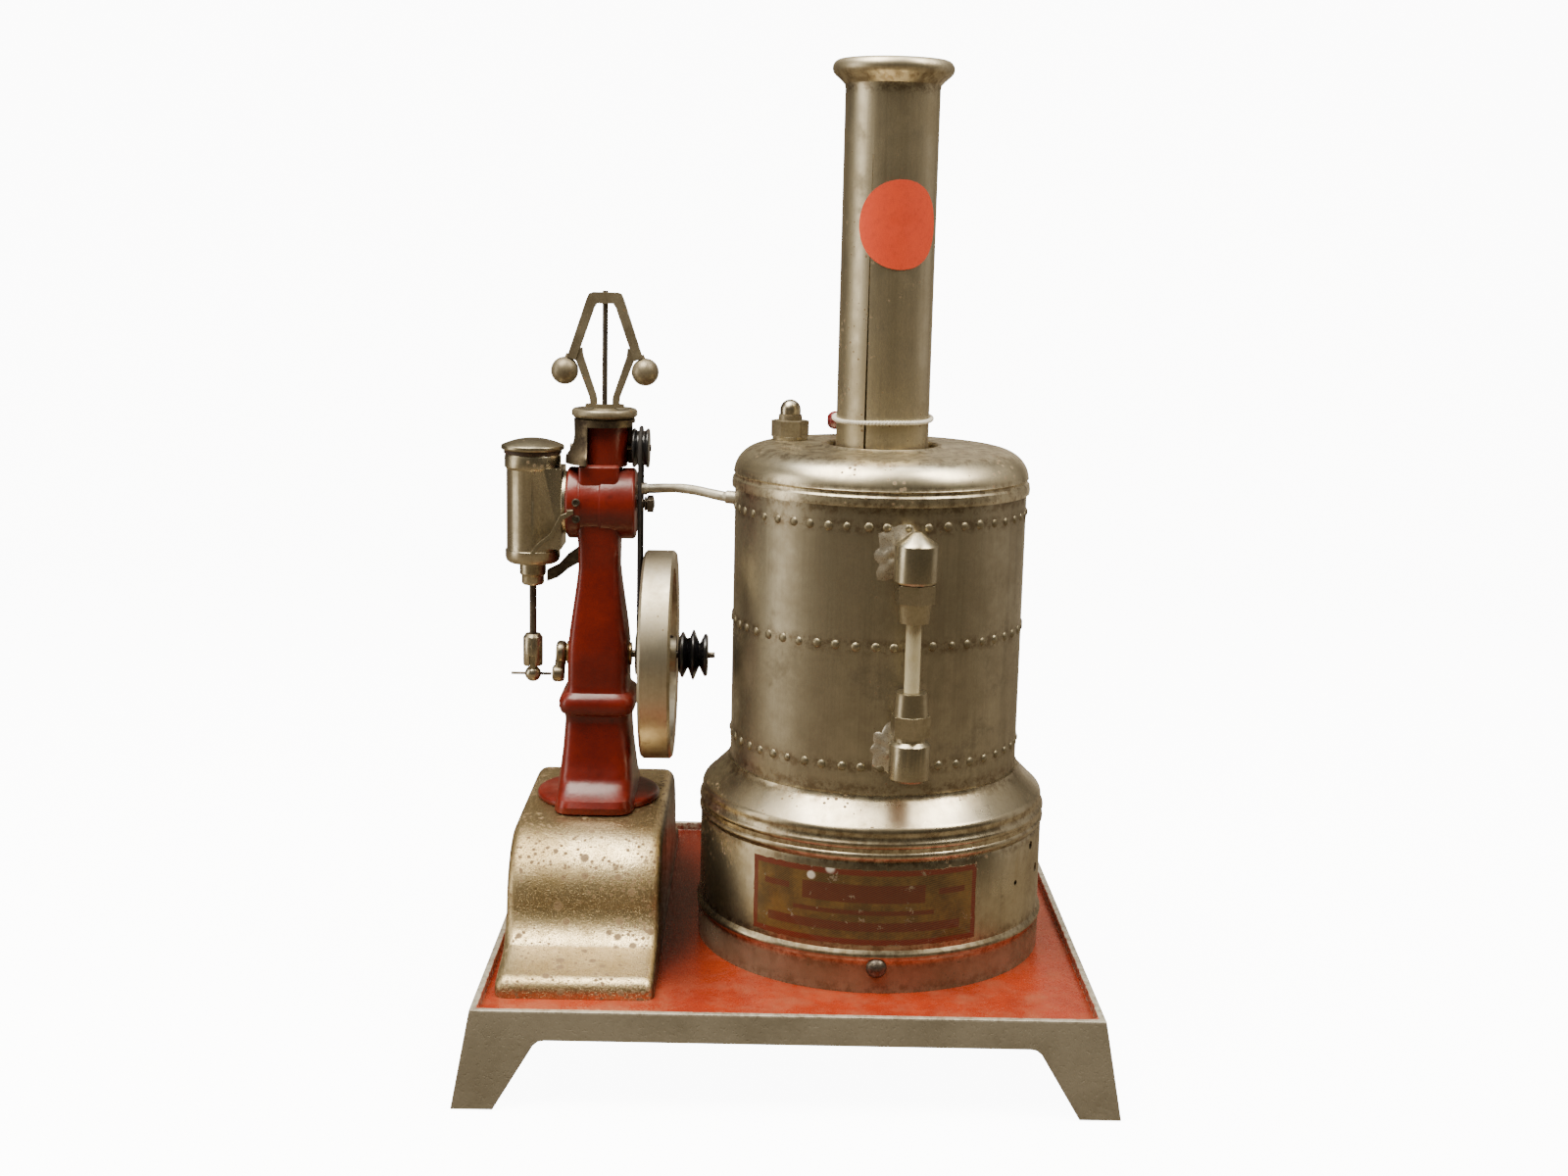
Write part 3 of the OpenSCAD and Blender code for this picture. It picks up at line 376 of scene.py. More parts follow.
def steel_material(name, tone, dark, rough, seed, rust=0.45):
    """Bare or blackened steel, oily and lightly rusted."""
    p = Paint(name)
    patches = p.use("tarnish", Scale=150.0, Coverage=0.55, Softness=0.12, Seed=seed)
    specks = p.use("specks", Scale=800.0, Density=rust, Seed=seed)
    shade = p.colour(patches, tone, dark)
    shade = p.colour(p.math("MULTIPLY", specks, 0.8), shade, (0.17, 0.085, 0.04))
    wear = p.use("wear", Radius=0.0003, Amount=0.6, Seed=seed)
    shade = p.colour(wear, shade, tinted(tone, 1.7))
    roughness = p.value(patches, rough, rough + 0.18)
    normal = p.bump(p.noise(p.place(), 1300.0, 2.0, 0.6, seed), 0.00003, 0.6)
    return p.set(Base_Color=shade, Metallic=p.value(specks, 0.9, 0.2), Roughness=roughness, Normal=normal)


def enamel_material(name, tone, deep, seed, chips=0.5, dusty=0.3, rough=0.2, under=(0.16, 0.13, 0.1),
                    coat=0.35):
    """Thick glossy enamel on rough cast iron, chipped on its edges and dusty on top."""
    p = Paint(name)
    uneven = p.use("tarnish", Scale=60.0, Coverage=0.55, Softness=0.25, Seed=seed)
    shade = p.colour(uneven, tone, deep)
    grime = p.use("tarnish", Scale=170.0, Coverage=0.25, Softness=0.1, Seed=seed + 2)
    shade = p.colour(p.math("MULTIPLY", grime, 0.55), shade, tinted(deep, 0.35))
    worn = p.use("wear", Radius=0.0007, Amount=chips, Seed=seed)
    nicks = p.use("specks", Scale=260.0, Density=chips * 0.35, Seed=seed + 5)
    bare = p.math("MAXIMUM", worn, nicks)
    shade = p.colour(bare, shade, under)
    dust = p.use("dust", Amount=dusty, Seed=seed)
    shade = p.colour(dust, shade, (0.52, 0.42, 0.34))
    skin = p.noise(p.place(), 190.0, 3.0, 0.55, seed)
    normal = p.bump(skin, 0.0005, 0.4)
    normal = p.bump(bare, 0.00012, 0.6, normal)
    roughness = p.math("ADD", p.value(bare, rough, 0.55), p.math("MULTIPLY", dust, 0.4))
    return p.set(Base_Color=shade, Roughness=roughness, Normal=normal,
                 Coat_Weight=p.value(bare, coat, 0.0), Coat_Roughness=0.2)


def matt_material(name, tone, other, rough, seed, scale=300.0, depth=0.0001):
    """Paper, cord, fibre and leather: two tones in a fine cloud, and a soft tooth."""
    p = Paint(name)
    cloud = p.use("tarnish", Scale=scale * 0.4, Coverage=0.5, Softness=0.2, Seed=seed)
    fine = p.noise(p.place(), scale * 4, 3.0, 0.6, seed)
    shade = p.colour(cloud, tone, other)
    shade = p.colour(p.step(fine, 0.45, 0.8, 0.0, 0.4), shade, tinted(other, 0.6))
    roughness = p.step(fine, 0.2, 0.8, rough - 0.06, rough + 0.08)
    return p.set(Base_Color=shade, Roughness=roughness, Normal=p.bump(fine, depth, 0.7))


def tray_material():
    """The tray: grey plated outside with a worn bright lip, orange-red enamel inside, and a painted shadow beside
    the pedestal.
    """
    p = Paint("tray_finish")
    x, y, z = p.split(p.place())
    across = p.math("MAXIMUM", p.math("ABSOLUTE", x), p.math("ABSOLUTE", y))
    ragged = p.noise(p.place(), 420.0, 4.0, 0.7, 2.0)
    edge = p.math("ADD", across, p.math("MULTIPLY", p.math("SUBTRACT", ragged, 0.5), 0.0016))
    inside = p.math("MULTIPLY", p.step(edge, (TRAY_INSIDE - 0.2) * MM, (TRAY_INSIDE + 0.3) * MM, 1.0, 0.0),
                    p.step(z, (FLOOR_Z - 1.2) * MM, (FLOOR_Z - 0.9) * MM))
    red = p.colour(p.use("tarnish", Scale=34.0, Coverage=0.5, Softness=0.2, Seed=4.0),
                   (0.36, 0.034, 0.008), (0.22, 0.018, 0.006))
    near_wall = p.step(across, (TRAY_INSIDE - 14) * MM, TRAY_INSIDE * MM)
    red = p.colour(p.math("MULTIPLY", near_wall, 0.4), red, (0.16, 0.018, 0.008))
    # painted shadow: the pedestal's shadow darkens the enamel between it and the boiler, and no dust is laid in
    # it
    pedestal_shadow = p.math("MULTIPLY", p.step(x, -34 * MM, -12 * MM, 1.0, 0.0), p.step(x, -42 * MM, -37 * MM))
    pedestal_shadow = p.math("MULTIPLY", pedestal_shadow, p.step(y, -76 * MM, -50 * MM))
    red = p.colour(p.math("MULTIPLY", pedestal_shadow, 0.8), red, (0.055, 0.008, 0.005))
    dust = p.math("MULTIPLY", p.use("dust", Amount=0.42, Seed=9.0), p.without(pedestal_shadow))
    red = p.colour(dust, red, (0.30, 0.115, 0.055))
    chips = p.use("specks", Scale=240.0, Density=0.2, Seed=4.0)
    red = p.colour(chips, red, (0.15, 0.10, 0.07))
    patches = p.use("tarnish", Scale=55.0, Coverage=0.5, Softness=0.16, Seed=1.0)
    grey = p.colour(patches, (0.33, 0.29, 0.215), (0.235, 0.20, 0.14))
    rust = p.math("MAXIMUM", p.use("specks", Scale=420.0, Density=0.35, Seed=1.0),
                  p.use("specks", Scale=150.0, Density=0.25, Seed=6.0))
    grey = p.colour(p.math("MULTIPLY", rust, 0.8), grey, (0.13, 0.075, 0.04))
    lip = p.math("MULTIPLY", p.step(z, 26.2 * MM, 26.8 * MM), p.step(ragged, 0.35, 0.6))
    grey = p.colour(p.math("MULTIPLY", lip, 0.7), grey, (0.62, 0.58, 0.48))
    tone = p.colour(inside, grey, red)
    normal = p.bump(p.use("cast", "Height", Scale=480.0), 0.00016, 0.45)
    normal = p.bump(inside, 0.00012, 0.5, normal)
    enamel_rough = p.math("ADD", 0.24, p.math("MULTIPLY", dust, 0.5))
    roughness = p.value(inside, p.value(patches, 0.42, 0.55), enamel_rough)
    metallic = p.math("MULTIPLY", p.without(inside), p.value(rust, 0.45, 0.1))
    return p.set(Base_Color=tone, Roughness=roughness, Metallic=metallic, Normal=normal)


def glass_material():
    """Cream-stained gauge glass, clouded inside."""
    p = Paint("stained_glass")
    cloud = p.use("tarnish", Scale=120.0, Coverage=0.6, Softness=0.25, Seed=3.0)
    tone = p.colour(cloud, (0.80, 0.73, 0.50), (0.64, 0.55, 0.34))
    return p.set(Base_Color=tone, Roughness=p.value(cloud, 0.08, 0.2), Transmission_Weight=0.25,
                 IOR=1.5, Coat_Weight=p.value(cloud, 0.6, 0.3))


def decal_material():
    """A worn transfer of plain bars in a frame: gold ground, maroon bars, flaked to metal and white."""
    p = Paint("worn_decal")
    flat = p.add("ShaderNodeUVMap", uv_map="flat").outputs[0]
    u, v, _ = p.split(flat)

    def between(value, low, high, blur):
        rising = p.step(value, low - blur, low + blur)
        return p.math("MULTIPLY", rising, p.step(value, high - blur, high + blur, 1.0, 0.0))

    def bar(u0, u1, v0, v1):
        return p.math("MULTIPLY", between(u, u0, u1, 0.0036), between(v, v0, v1, 0.012))

    frame_bar = p.math("SUBTRACT", bar(0.0, 1.0, 0.0, 1.0), bar(0.022, 0.978, 0.075, 0.925))
    marks = p.most([bar(0.24, 0.76, 0.56, 0.80), bar(0.06, 0.18, 0.66, 0.74), bar(0.82, 0.94, 0.66, 0.74),
                    bar(0.2, 0.8, 0.40, 0.46), bar(0.08, 0.92, 0.18, 0.30)])
    hatch = p.add("ShaderNodeTexWave", wave_type="BANDS", bands_direction="DIAGONAL")
    p.put(flat, hatch.inputs["Vector"])
    hatch.inputs["Scale"].default_value = 26.0
    gold = p.colour(p.use("tarnish", Scale=150.0, Coverage=0.6, Softness=0.15, Seed=8.0),
                    (0.155, 0.088, 0.020), (0.062, 0.034, 0.010))
    tone = p.colour(p.math("MULTIPLY", marks, 0.9), gold, (0.085, 0.010, 0.007))
    tone = p.colour(frame_bar, tone, (0.12, 0.010, 0.006))
    hatching = p.math("MULTIPLY", p.step(hatch.outputs["Fac"], 0.55, 0.8), 0.12)
    tone = p.colour(hatching, tone, (0.5, 0.36, 0.12))
    flaked = p.use("tarnish", Scale=230.0, Coverage=0.33, Softness=0.02, Seed=12.0)
    lost = p.use("specks", Scale=110.0, Density=0.6, Seed=5.0)
    tone = p.colour(flaked, tone, (0.30, 0.26, 0.18))
    tone = p.colour(lost, tone, (0.72, 0.69, 0.60))
    gone = p.math("MAXIMUM", flaked, lost)
    rough = p.value(gone, 0.34, 0.5)
    return p.set(Base_Color=tone, Roughness=rough, Metallic=p.math("MULTIPLY", flaked, 0.6),
                 Normal=p.bump(gone, 0.00008, 0.6), Coat_Weight=p.value(gone, 0.25, 0.0))


def make_materials():
    """Every finish by its short name."""
    silver, olive = (0.62, 0.555, 0.41), (0.36, 0.305, 0.195)
    return {
        "boiler": nickel_material("boiler_plate", (0.53, 0.485, 0.37), (0.33, 0.285, 0.20), 0.31, 1.0,
                                  brushed=0.25, age=0.6, rust=0.42, scale=24.0, streaks=0.3,
                                  grime_rows=(82.0, 88.87, 124.15, 158.5, 163.8)),
        "cap": nickel_material("cap_plate", (0.76, 0.68, 0.49), (0.50, 0.43, 0.285), 0.29, 14.0, brushed=0.2,
                               age=0.5, rust=0.65, scale=30.0, grime_rows=(164.4, 167.9, 176.9)),
        "firebox": nickel_material("firebox_plate", (0.60, 0.53, 0.38), (0.35, 0.285, 0.175), 0.26, 21.0,
                                   brushed=0.2, age=0.55, rust=0.72, scale=32.0, streaks=0.25, darker_below=33.6,
                                   grime_rows=(25.0, 33.2, 37.0, 63.2, 66.6, 70.3, 80.4)),
        "chimney": nickel_material("chimney_plate", (0.68, 0.61, 0.45), (0.45, 0.385, 0.255), 0.34, 33.0,
                                   brushed=0.6, age=0.55, rust=0.62, scale=28.0, streaks=0.3,
                                   grime_rows=(172.0, 281.6, 283.6)),
        "nickel": nickel_material("engine_nickel", silver, olive, 0.26, 5.0, age=0.5, rust=0.5, scale=80.0),
        "governor": nickel_material("governor_nickel", (0.36, 0.31, 0.21), (0.18, 0.145, 0.09), 0.34, 51.0,
                                    age=0.55, rust=0.5, scale=120.0, metal=0.6),
        "bright": nickel_material("gauge_nickel", (0.50, 0.45, 0.325), (0.33, 0.28, 0.18), 0.27, 6.0,
                                  age=0.5, rust=0.35, scale=90.0),
        # painted shade darkens the pedestal's right face
        "cast": nickel_material("cast_nickel", (0.78, 0.625, 0.36), (0.38, 0.28, 0.135), 0.30, 8.0,
                                cast=1.0, age=0.62, rust=1.05, scale=38.0, shaded_right_of=-39.4),
        "wheel": nickel_material("wheel_nickel", (0.60, 0.545, 0.42), (0.43, 0.37, 0.255), 0.38, 9.0,
                                 brushed=0.2, age=0.5, rust=0.5, scale=60.0, chipped=0.8),
        "rivet": nickel_material("rivet_heads", (0.36, 0.32, 0.22), (0.22, 0.185, 0.12), 0.42, 61.0, age=0.5,
                                 rust=0.4, scale=90.0),
        "crank": nickel_material("crank_nickel", (0.48, 0.42, 0.30), (0.25, 0.205, 0.125), 0.3, 64.0, age=0.55,
                                 rust=0.5, scale=110.0),
        "pipe": nickel_material("tinned_pipe", (0.62, 0.58, 0.48), (0.44, 0.40, 0.31), 0.46, 12.0, age=0.5,
                                rust=0.35, scale=140.0),
        "solder": nickel_material("grey_solder", (0.68, 0.64, 0.54), (0.42, 0.37, 0.28), 0.42, 18.0, cast=0.35,
                                  age=0.55, rust=0.5, scale=120.0),
        "steel": steel_material("oily_steel", (0.20, 0.17, 0.13), (0.075, 0.06, 0.05), 0.32, 2.0),
        "bronze": steel_material("dark_bronze", (0.13, 0.10, 0.062), (0.04, 0.028, 0.02), 0.42, 7.0, rust=0.3),
        "bush": steel_material("bush_bronze", (0.42, 0.28, 0.12), (0.20, 0.12, 0.05), 0.3, 4.0, rust=0.1),
        "brass": steel_material("pin_brass", (0.62, 0.46, 0.2), (0.36, 0.25, 0.11), 0.26, 3.0, rust=0.12),
        "tray": tray_material(),
        "column": enamel_material("column_enamel", (0.205, 0.013, 0.004), (0.10, 0.006, 0.003), 3.0,
                                  chips=0.45, dusty=0.10, rough=0.33, coat=0.12),
        "black": enamel_material("black_japan", (0.018, 0.017, 0.018), (0.010, 0.010, 0.011), 6.0, chips=0.5,
                                 dusty=0.15, rough=0.28, under=(0.22, 0.20, 0.17)),
        "knob": enamel_material("stained_wood", (0.16, 0.012, 0.012), (0.07, 0.006, 0.006), 8.0, chips=0.3,
                                dusty=0.1, rough=0.25, under=(0.24, 0.12, 0.06)),
        "cord": matt_material("black_cord", (0.02, 0.018, 0.017), (0.035, 0.03, 0.027), 0.8, 1.0, 900.0),
        "gasket": matt_material("oily_gasket", (0.05, 0.028, 0.018), (0.10, 0.05, 0.03), 0.6, 2.0, 600.0),
        "leather": matt_material("dry_leather", (0.20, 0.10, 0.05), (0.30, 0.17, 0.09), 0.75, 3.0, 700.0),
        "mica": matt_material("mica_board", (0.20, 0.17, 0.13), (0.30, 0.26, 0.2), 0.55, 4.0, 200.0),
        "fibre": matt_material("moulded_fibre", (0.045, 0.03, 0.025), (0.075, 0.05, 0.04), 0.42, 5.0, 260.0),
        "paper": matt_material("sticker_paper", (0.80, 0.072, 0.018), (0.70, 0.055, 0.015), 0.6, 6.0,
                               120.0, 0.00003),
        "string": matt_material("cotton_string", (0.80, 0.77, 0.68), (0.66, 0.61, 0.50), 0.85, 7.0,
                                1400.0, 0.0002),
        "glass": glass_material(),
        "decal": decal_material(),
    }


MATERIALS = make_materials()


# ---------------------------------------------------------------- mesh helpers
def finish_mesh(name, bm, material, body, stands_for=(), angle=SMOOTH_ANGLE):
    """Turns a bmesh in mm into a smooth-shaded piece on its CAD body."""
    bmesh.ops.recalc_face_normals(bm, faces=bm.faces)
    bmesh.ops.scale(bm, vec=(MM, MM, MM), verts=bm.verts)
    mesh = bpy.data.meshes.new(name)
    bm.to_mesh(mesh)
    bm.free()
    for face in mesh.polygons:
        face.use_smooth = True
    mesh.set_sharp_from_angle(angle=angle)
    mesh.materials.append(MATERIALS[material])
    piece = bpy.data.objects.new(name, mesh)
    bpy.context.scene.collection.objects.link(piece)
    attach(piece, body)
    if stands_for:
        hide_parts(*stands_for)
    return piece


def fillet(points, radius, steps=3):
    """Rounds the corners of a closed outline of (a, b) points."""
    count = len(points)
    out = []
    for i, point in enumerate(points):
        here = Vector(point)
        before, after = Vector(points[i - 1]) - here, Vector(points[(i + 1) % count]) - here
        reach = min(radius, before.length * 0.45, after.length * 0.45)
        a, b = here + before.normalized() * reach, here + after.normalized() * reach
        for k in range(steps + 1):
            t = k / steps
            q = a.lerp(here, t).lerp(here.lerp(b, t), t)
            out.append((q.x, q.y))
    return out


def arc(cx, cy, r, a0, a1, steps=8):
    """Points on an arc, angles in degrees."""
    turns = [math.radians(a0 + (a1 - a0) * i / steps) for i in range(steps + 1)]
    return [(cx + r * math.cos(t), cy + r * math.sin(t)) for t in turns]


def add_rings(bm, rings):
    """Joins closed rings of equal length with quads, with flat caps on the two ends."""
    loops = [[bm.verts.new(p) for p in ring] for ring in rings]
    size = len(loops[0])
    for low, high in zip(loops, loops[1:]):
        for k in range(size):
            n = (k + 1) % size
            bm.faces.new((low[k], low[n], high[n], high[k]))
    bm.faces.new(loops[0][::-1])
    bm.faces.new(loops[-1])


def add_lathe(bm, profile, centre, segments=128, closed=True, axis="Z"):
    """Turns an (r, along) outline about a line through centre, along Z or X."""
    start = len(bm.verts)
    columns = []
    for k in range(segments):
        a = 2 * math.pi * k / segments
        column = []
        for r, h in profile:
            flat = Vector((r * math.cos(a), r * math.sin(a), h))
            if axis == "X":
                flat = Vector((h, r * math.cos(a), r * math.sin(a)))
            column.append(bm.verts.new(flat + Vector(centre)))
        columns.append(column)
    rows = len(profile)
    for k in range(segments):
        this, that = columns[k], columns[(k + 1) % segments]
        for j in range(rows if closed else rows - 1):
            n = (j + 1) % rows
            bm.faces.new((this[j], that[j], that[n], this[n]))
    bm.verts.ensure_lookup_table()
    bmesh.ops.remove_doubles(bm, verts=bm.verts[start:], dist=1e-5)


def add_tube(bm, path, radius, sides=16, radii=None):
    """A round tube along 3-D points, with flat ends."""
    path = [Vector(p) for p in path]
    up = Vector((0, 0, 1)) if abs((path[1] - path[0]).normalized().z) < 0.9 else Vector((0, 1, 0))
    rings = []
    for i, point in enumerate(path):
        along = (path[min(i + 1, len(path) - 1)] - path[max(i - 1, 0)]).normalized()
        side = along.cross(up).normalized()
        top = side.cross(along)
        r = radii[i] if radii else radius
        rings.append([point + r * (math.cos(t) * side + math.sin(t) * top)
                      for t in (2 * math.pi * k / sides for k in range(sides))])
    add_rings(bm, rings)


def spline(points, per=6):
    """A smooth line through 3-D points."""
    pts = [Vector(p) for p in points]
    pts = [2 * pts[0] - pts[1]] + pts + [2 * pts[-1] - pts[-2]]
    out = []
    for i in range(1, len(pts) - 2):
        a, b, c, d = pts[i - 1:i + 3]
        for k in range(per):
            t = k / per
            out.append(0.5 * (2 * b + (c - a) * t + (2 * a - 5 * b + 4 * c - d) * t * t
                              + (3 * b - a - 3 * c + d) * t ** 3))
    out.append(pts[-2])
    return out


def lerp_table(table, z):
    """Reads a table of (z, value) rows at z."""
    for (z0, v0), (z1, v1) in zip(table, table[1:]):
        if z <= z1:
            t = max(0.0, (z - z0) / (z1 - z0))
            return v0 + (v1 - v0) * t
    return table[-1][1]


def softened(node, material, slot, width, segments):
    """A copy of a CAD node with clean flat faces and small rounded edges, standing for that node."""
    source = NODES[node]
    bm = bmesh.new()
    bm.from_mesh(source.data)
    bmesh.ops.scale(bm, vec=(1 / MM,) * 3, verts=bm.verts)
    bmesh.ops.remove_doubles(bm, verts=bm.verts, dist=0.002)
    bmesh.ops.dissolve_limit(bm, angle_limit=math.radians(0.6), verts=bm.verts, edges=bm.edges)
    piece = finish_mesh(node + "_finished", bm, material, source["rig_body"], [node])
    bevel = piece.modifiers.new("rounded_edges", "BEVEL")
    bevel.width = width * MM
    bevel.segments = segments
    bevel.limit_method = "ANGLE"
    bevel.angle_limit = math.radians(34)
    bevel.harden_normals = True
    bevel.use_clamp_overlap = True
    return piece


# ---------------------------------------------------------------- base tray and pedestal
def ogee(inset):
    """Half of the pedestal's outline as (y, z), pulled in by inset."""
    cove, shoulder, toe, foot = 14.0, 22.0, 4.6, 75.6
    turn, cove_end = 8, 62
    cy, cz = 28.0, 62.0 - shoulder
    ky = cy + (shoulder + cove) * math.cos(math.radians(turn))
    kz = cz + (shoulder + cove) * math.sin(math.radians(turn))
    bottom = FLOOR_Z + 0.05
    shoulder_line = arc(cy, cz, shoulder - inset, 90, turn, 14)
    cove_line = arc(ky, kz, cove + inset, 180 + turn, 180 + cove_end, 12)
    toe_line = arc(foot - toe, bottom + 1.4, toe - inset, 78, 0, 6)
    return shoulder_line + cove_line + toe_line + [(foot - inset, bottom)]


def build_pedestal():
    """The ogee-sided casting, its two long edges rounded."""
    width, edge = 45.5, 3.4
    rings = []
    stops = [(-width / 2 + edge * (1 - math.sin(t)), edge * (1 - math.cos(t)))
             for t in (math.radians(a) for a in (90, 72, 54, 36, 18, 0))]
    middle = [(x, 0.0) for x in (-12.0, -6.0, 0.0, 6.0, 12.0)]
    for x, inset in stops + middle + [(-x, i) for x, i in reversed(stops)]:
        half = ogee(inset)
        outline = half + [(-y, z) for y, z in reversed(half)]
        rings.append([Vector((PEDESTAL_X + x, ENGINE[1] + y, z)) for y, z in outline])
    bm = bmesh.new()
    add_rings(bm, rings)
    finish_mesh("pedestal_casting", bm, "cast", "root", ["pedestal"])


# ---------------------------------------------------------------- engine column
# (height, half width) of the tapered column, seen from the front and from the side
FRONT_HALF = [(62.6, 12.6), (66, 12.0), (72, 11.5), (80, 10.6), (88.6, 10.0), (90.6, 10.2), (91.6, 11.4),
              (93, 11.9), (95, 11.9), (96.6, 11.2), (97.8, 9.8), (99, 9.5), (104, 9.4), (112, 9.3), (117, 8.8),
              (122, 8.1), (130.5, 6.9), (136, 6.3), (143, 6.4), (151, 7.0)]
SIDE_HALF = [(62.6, 24.0), (64.6, 24.2), (66.4, 23.2), (68, 19.6), (71, 16.6), (76, 14.6), (83, 13.2),
             (88.6, 12.3), (90.6, 12.5), (91.6, 13.7), (93, 14.1), (95, 14.1), (96.6, 13.3), (97.8, 12.0),
             (99, 11.7), (112, 11.2), (122, 10), (136, 8.6), (151, 8.8)]


def column_ring(w, d, z, power=5.6, count=48):
    """A rounded rectangle round the column's axis, as a superellipse of half widths w and d."""
    ring = []
    for k in range(count):
        t = 2 * math.pi * k / count
        c, s = math.cos(t), math.sin(t)
        x = math.copysign(abs(c) ** (2 / power), c) * w
        y = math.copysign(abs(s) ** (2 / power), s) * d
        ring.append(Vector((ENGINE[0] + x, ENGINE[1] + y, z)))
    return ring


def build_column():
    """Foot flange, tapered column, block, trunnion drum and hollow neck."""
    bm = bmesh.new()
    given = {z for z, _ in FRONT_HALF + SIDE_HALF}
    levels = sorted(given | {float(z) for z in range(64, 152, 2)})
    add_rings(bm, [column_ring(lerp_table(FRONT_HALF, z), lerp_table(SIDE_HALF, z), z) for z in levels])
    flange = fillet([(0.01, 62.05), (19.3, 62.05), (19.3, 64.1), (17.4, 64.6), (0.01, 65)], 0.9)
    add_lathe(bm, flange, (*ENGINE, 0), 96)
    box = fillet([(-6.2, -8.6), (6.2, -8.6), (6.2, 8.6), (-6.2, 8.6)], 1.6, 4)
    tops = [(156.0, 0.0), (167.6, 0.0), (168.1, 0.06), (168.3, 0.12)]
    add_rings(bm, [[Vector((ENGINE[0] + x * (1 - inset), ENGINE[1] + y * (1 - inset), z)) for x, y in box]
                   for z, inset in tops])
    drum = fillet([(0.01, -70.35), (10.5, -70.35), (11.1, -69.8), (11.1, -66.6), (10.7, -66.0), (10.7, -60.2),
                   (11.0, -59.6), (11.0, -49.9), (10.3, -49.2), (0.01, -49.2)], 0.6)
    add_lathe(bm, drum, (0, ENGINE[1], TRUNNION_Z), 96, axis="X")
    neck = fillet([(0.01, 167.4), (7.1, 167.4), (7.1, 180.2), (6.1, 180.2), (6.1, 168.9), (0.01, 168.9)], 0.3)
    add_lathe(bm, neck, (GOVERNOR_X, ENGINE[1], 0), 64)
    finish_mesh("engine_column_casting", bm, "column", "root", ["engine_column"])


def build_crank_web():
    """Two rounded lobes along the shaft's line, joined by a waist."""
    bm = bmesh.new()
    pin_z = SHAFT_Z - 6.8
    for x0, x1, r, z in ((-73.9, -70.8, 3.7, SHAFT_Z), (-75.2, -71.4, 2.7, pin_z)):
        lobe = fillet([(0.01, x0), (r, x0), (r, x1), (0.01, x1)], 1.35, 6)
        add_lathe(bm, lobe, (0, ENGINE[1], z), 48, axis="X")
    waist = [(-72.3, ENGINE[1], SHAFT_Z), (-72.7, ENGINE[1], SHAFT_Z - 3.4), (-73.2, ENGINE[1], pin_z)]
    add_tube(bm, spline(waist, 5), 1.7, 20)
    finish_mesh("crank_web_casting", bm, "crank", "crankshaft_set", ["crank_web"])


def build_drum_screws():
    """Two small screws let into the front of the column's drum."""
    bm = bmesh.new()
    for z in (157.2, 152.0):
        reach = math.sqrt(11.1 ** 2 - (z - TRUNNION_Z) ** 2)
        head = [(0.01, 0.0), (1.25, 0.0), (1.25, 0.35), (0.9, 0.5), (0.75, 0.2), (0.01, 0.2)]
        start = len(bm.verts)
        add_lathe(bm, head, (0, 0, 0), 24)
        turn = Matrix.Translation((-66.9, ENGINE[1] - reach, z)) @ Matrix.Rotation(math.radians(90), 4, "X")
        bm.verts.ensure_lookup_table()
        bmesh.ops.transform(bm, matrix=turn, verts=bm.verts[start:])
    finish_mesh("drum_screws", bm, "steel", "root")


# ---------------------------------------------------------------- boiler
def gauge_point(radius, z, azimuth):
    """A point round the boiler's axis; azimuth in degrees from the front, to the right."""
    a = math.radians(azimuth)
    return Vector((BOILER[0] + radius * math.sin(a), BOILER[1] - radius * math.cos(a), z))


def build_shell():
    """The barrel, swelling a hair at its rows of rivets."""
    bm = bmesh.new()
    r = BOILER_R
    outer = [(r, 60.0), (r, 84.8), (r + 0.02, 86.0), (r, 87.2), (r, 121.5), (r + 0.03, 124.1), (r, 126.7),
             (r, 156.0), (r + 0.03, 158.5), (r, 161.0), (r, 165.0)]
    inner = [(r - BOILER_SHEET, 165.0), (r - BOILER_SHEET, 60.0)]
    add_lathe(bm, outer + inner, (*BOILER, 0), 192)
    finish_mesh("boiler_barrel", bm, "boiler", "root", ["boiler_shell"])


def build_rivets():
    """Three rows of low domed heads, none quite alike."""
    bm = bmesh.new()
    for row, z in enumerate(RIVET_ROWS):
        for k in range(RIVETS_IN_ROW):
            angle = 360 * (k + 0.5 * row) / RIVETS_IN_ROW + RND.uniform(-0.5, 0.5)
            size = 1.2 * RND.uniform(0.88, 1.1)
            base = gauge_point(BOILER_R - 0.08, z + RND.uniform(-0.15, 0.15), angle)
            out = (gauge_point(10, 0, angle) - gauge_point(0, 0, angle)).normalized()
            side, up = Vector((0, 0, 1)).cross(out), Vector((0, 0, 1))
            rings = []
            for lift, share in ((0.0, 1.12), (0.2, 1.02), (0.44, 0.74), (0.56, 0.38)):
                rings.append([base + out * lift + size * share * (math.cos(t) * side + math.sin(t) * up)
                              for t in (2 * math.pi * i / 12 for i in range(12))])
            add_rings(bm, rings)
    finish_mesh("boiler_rivets", bm, "rivet", "root", angle=math.radians(60))


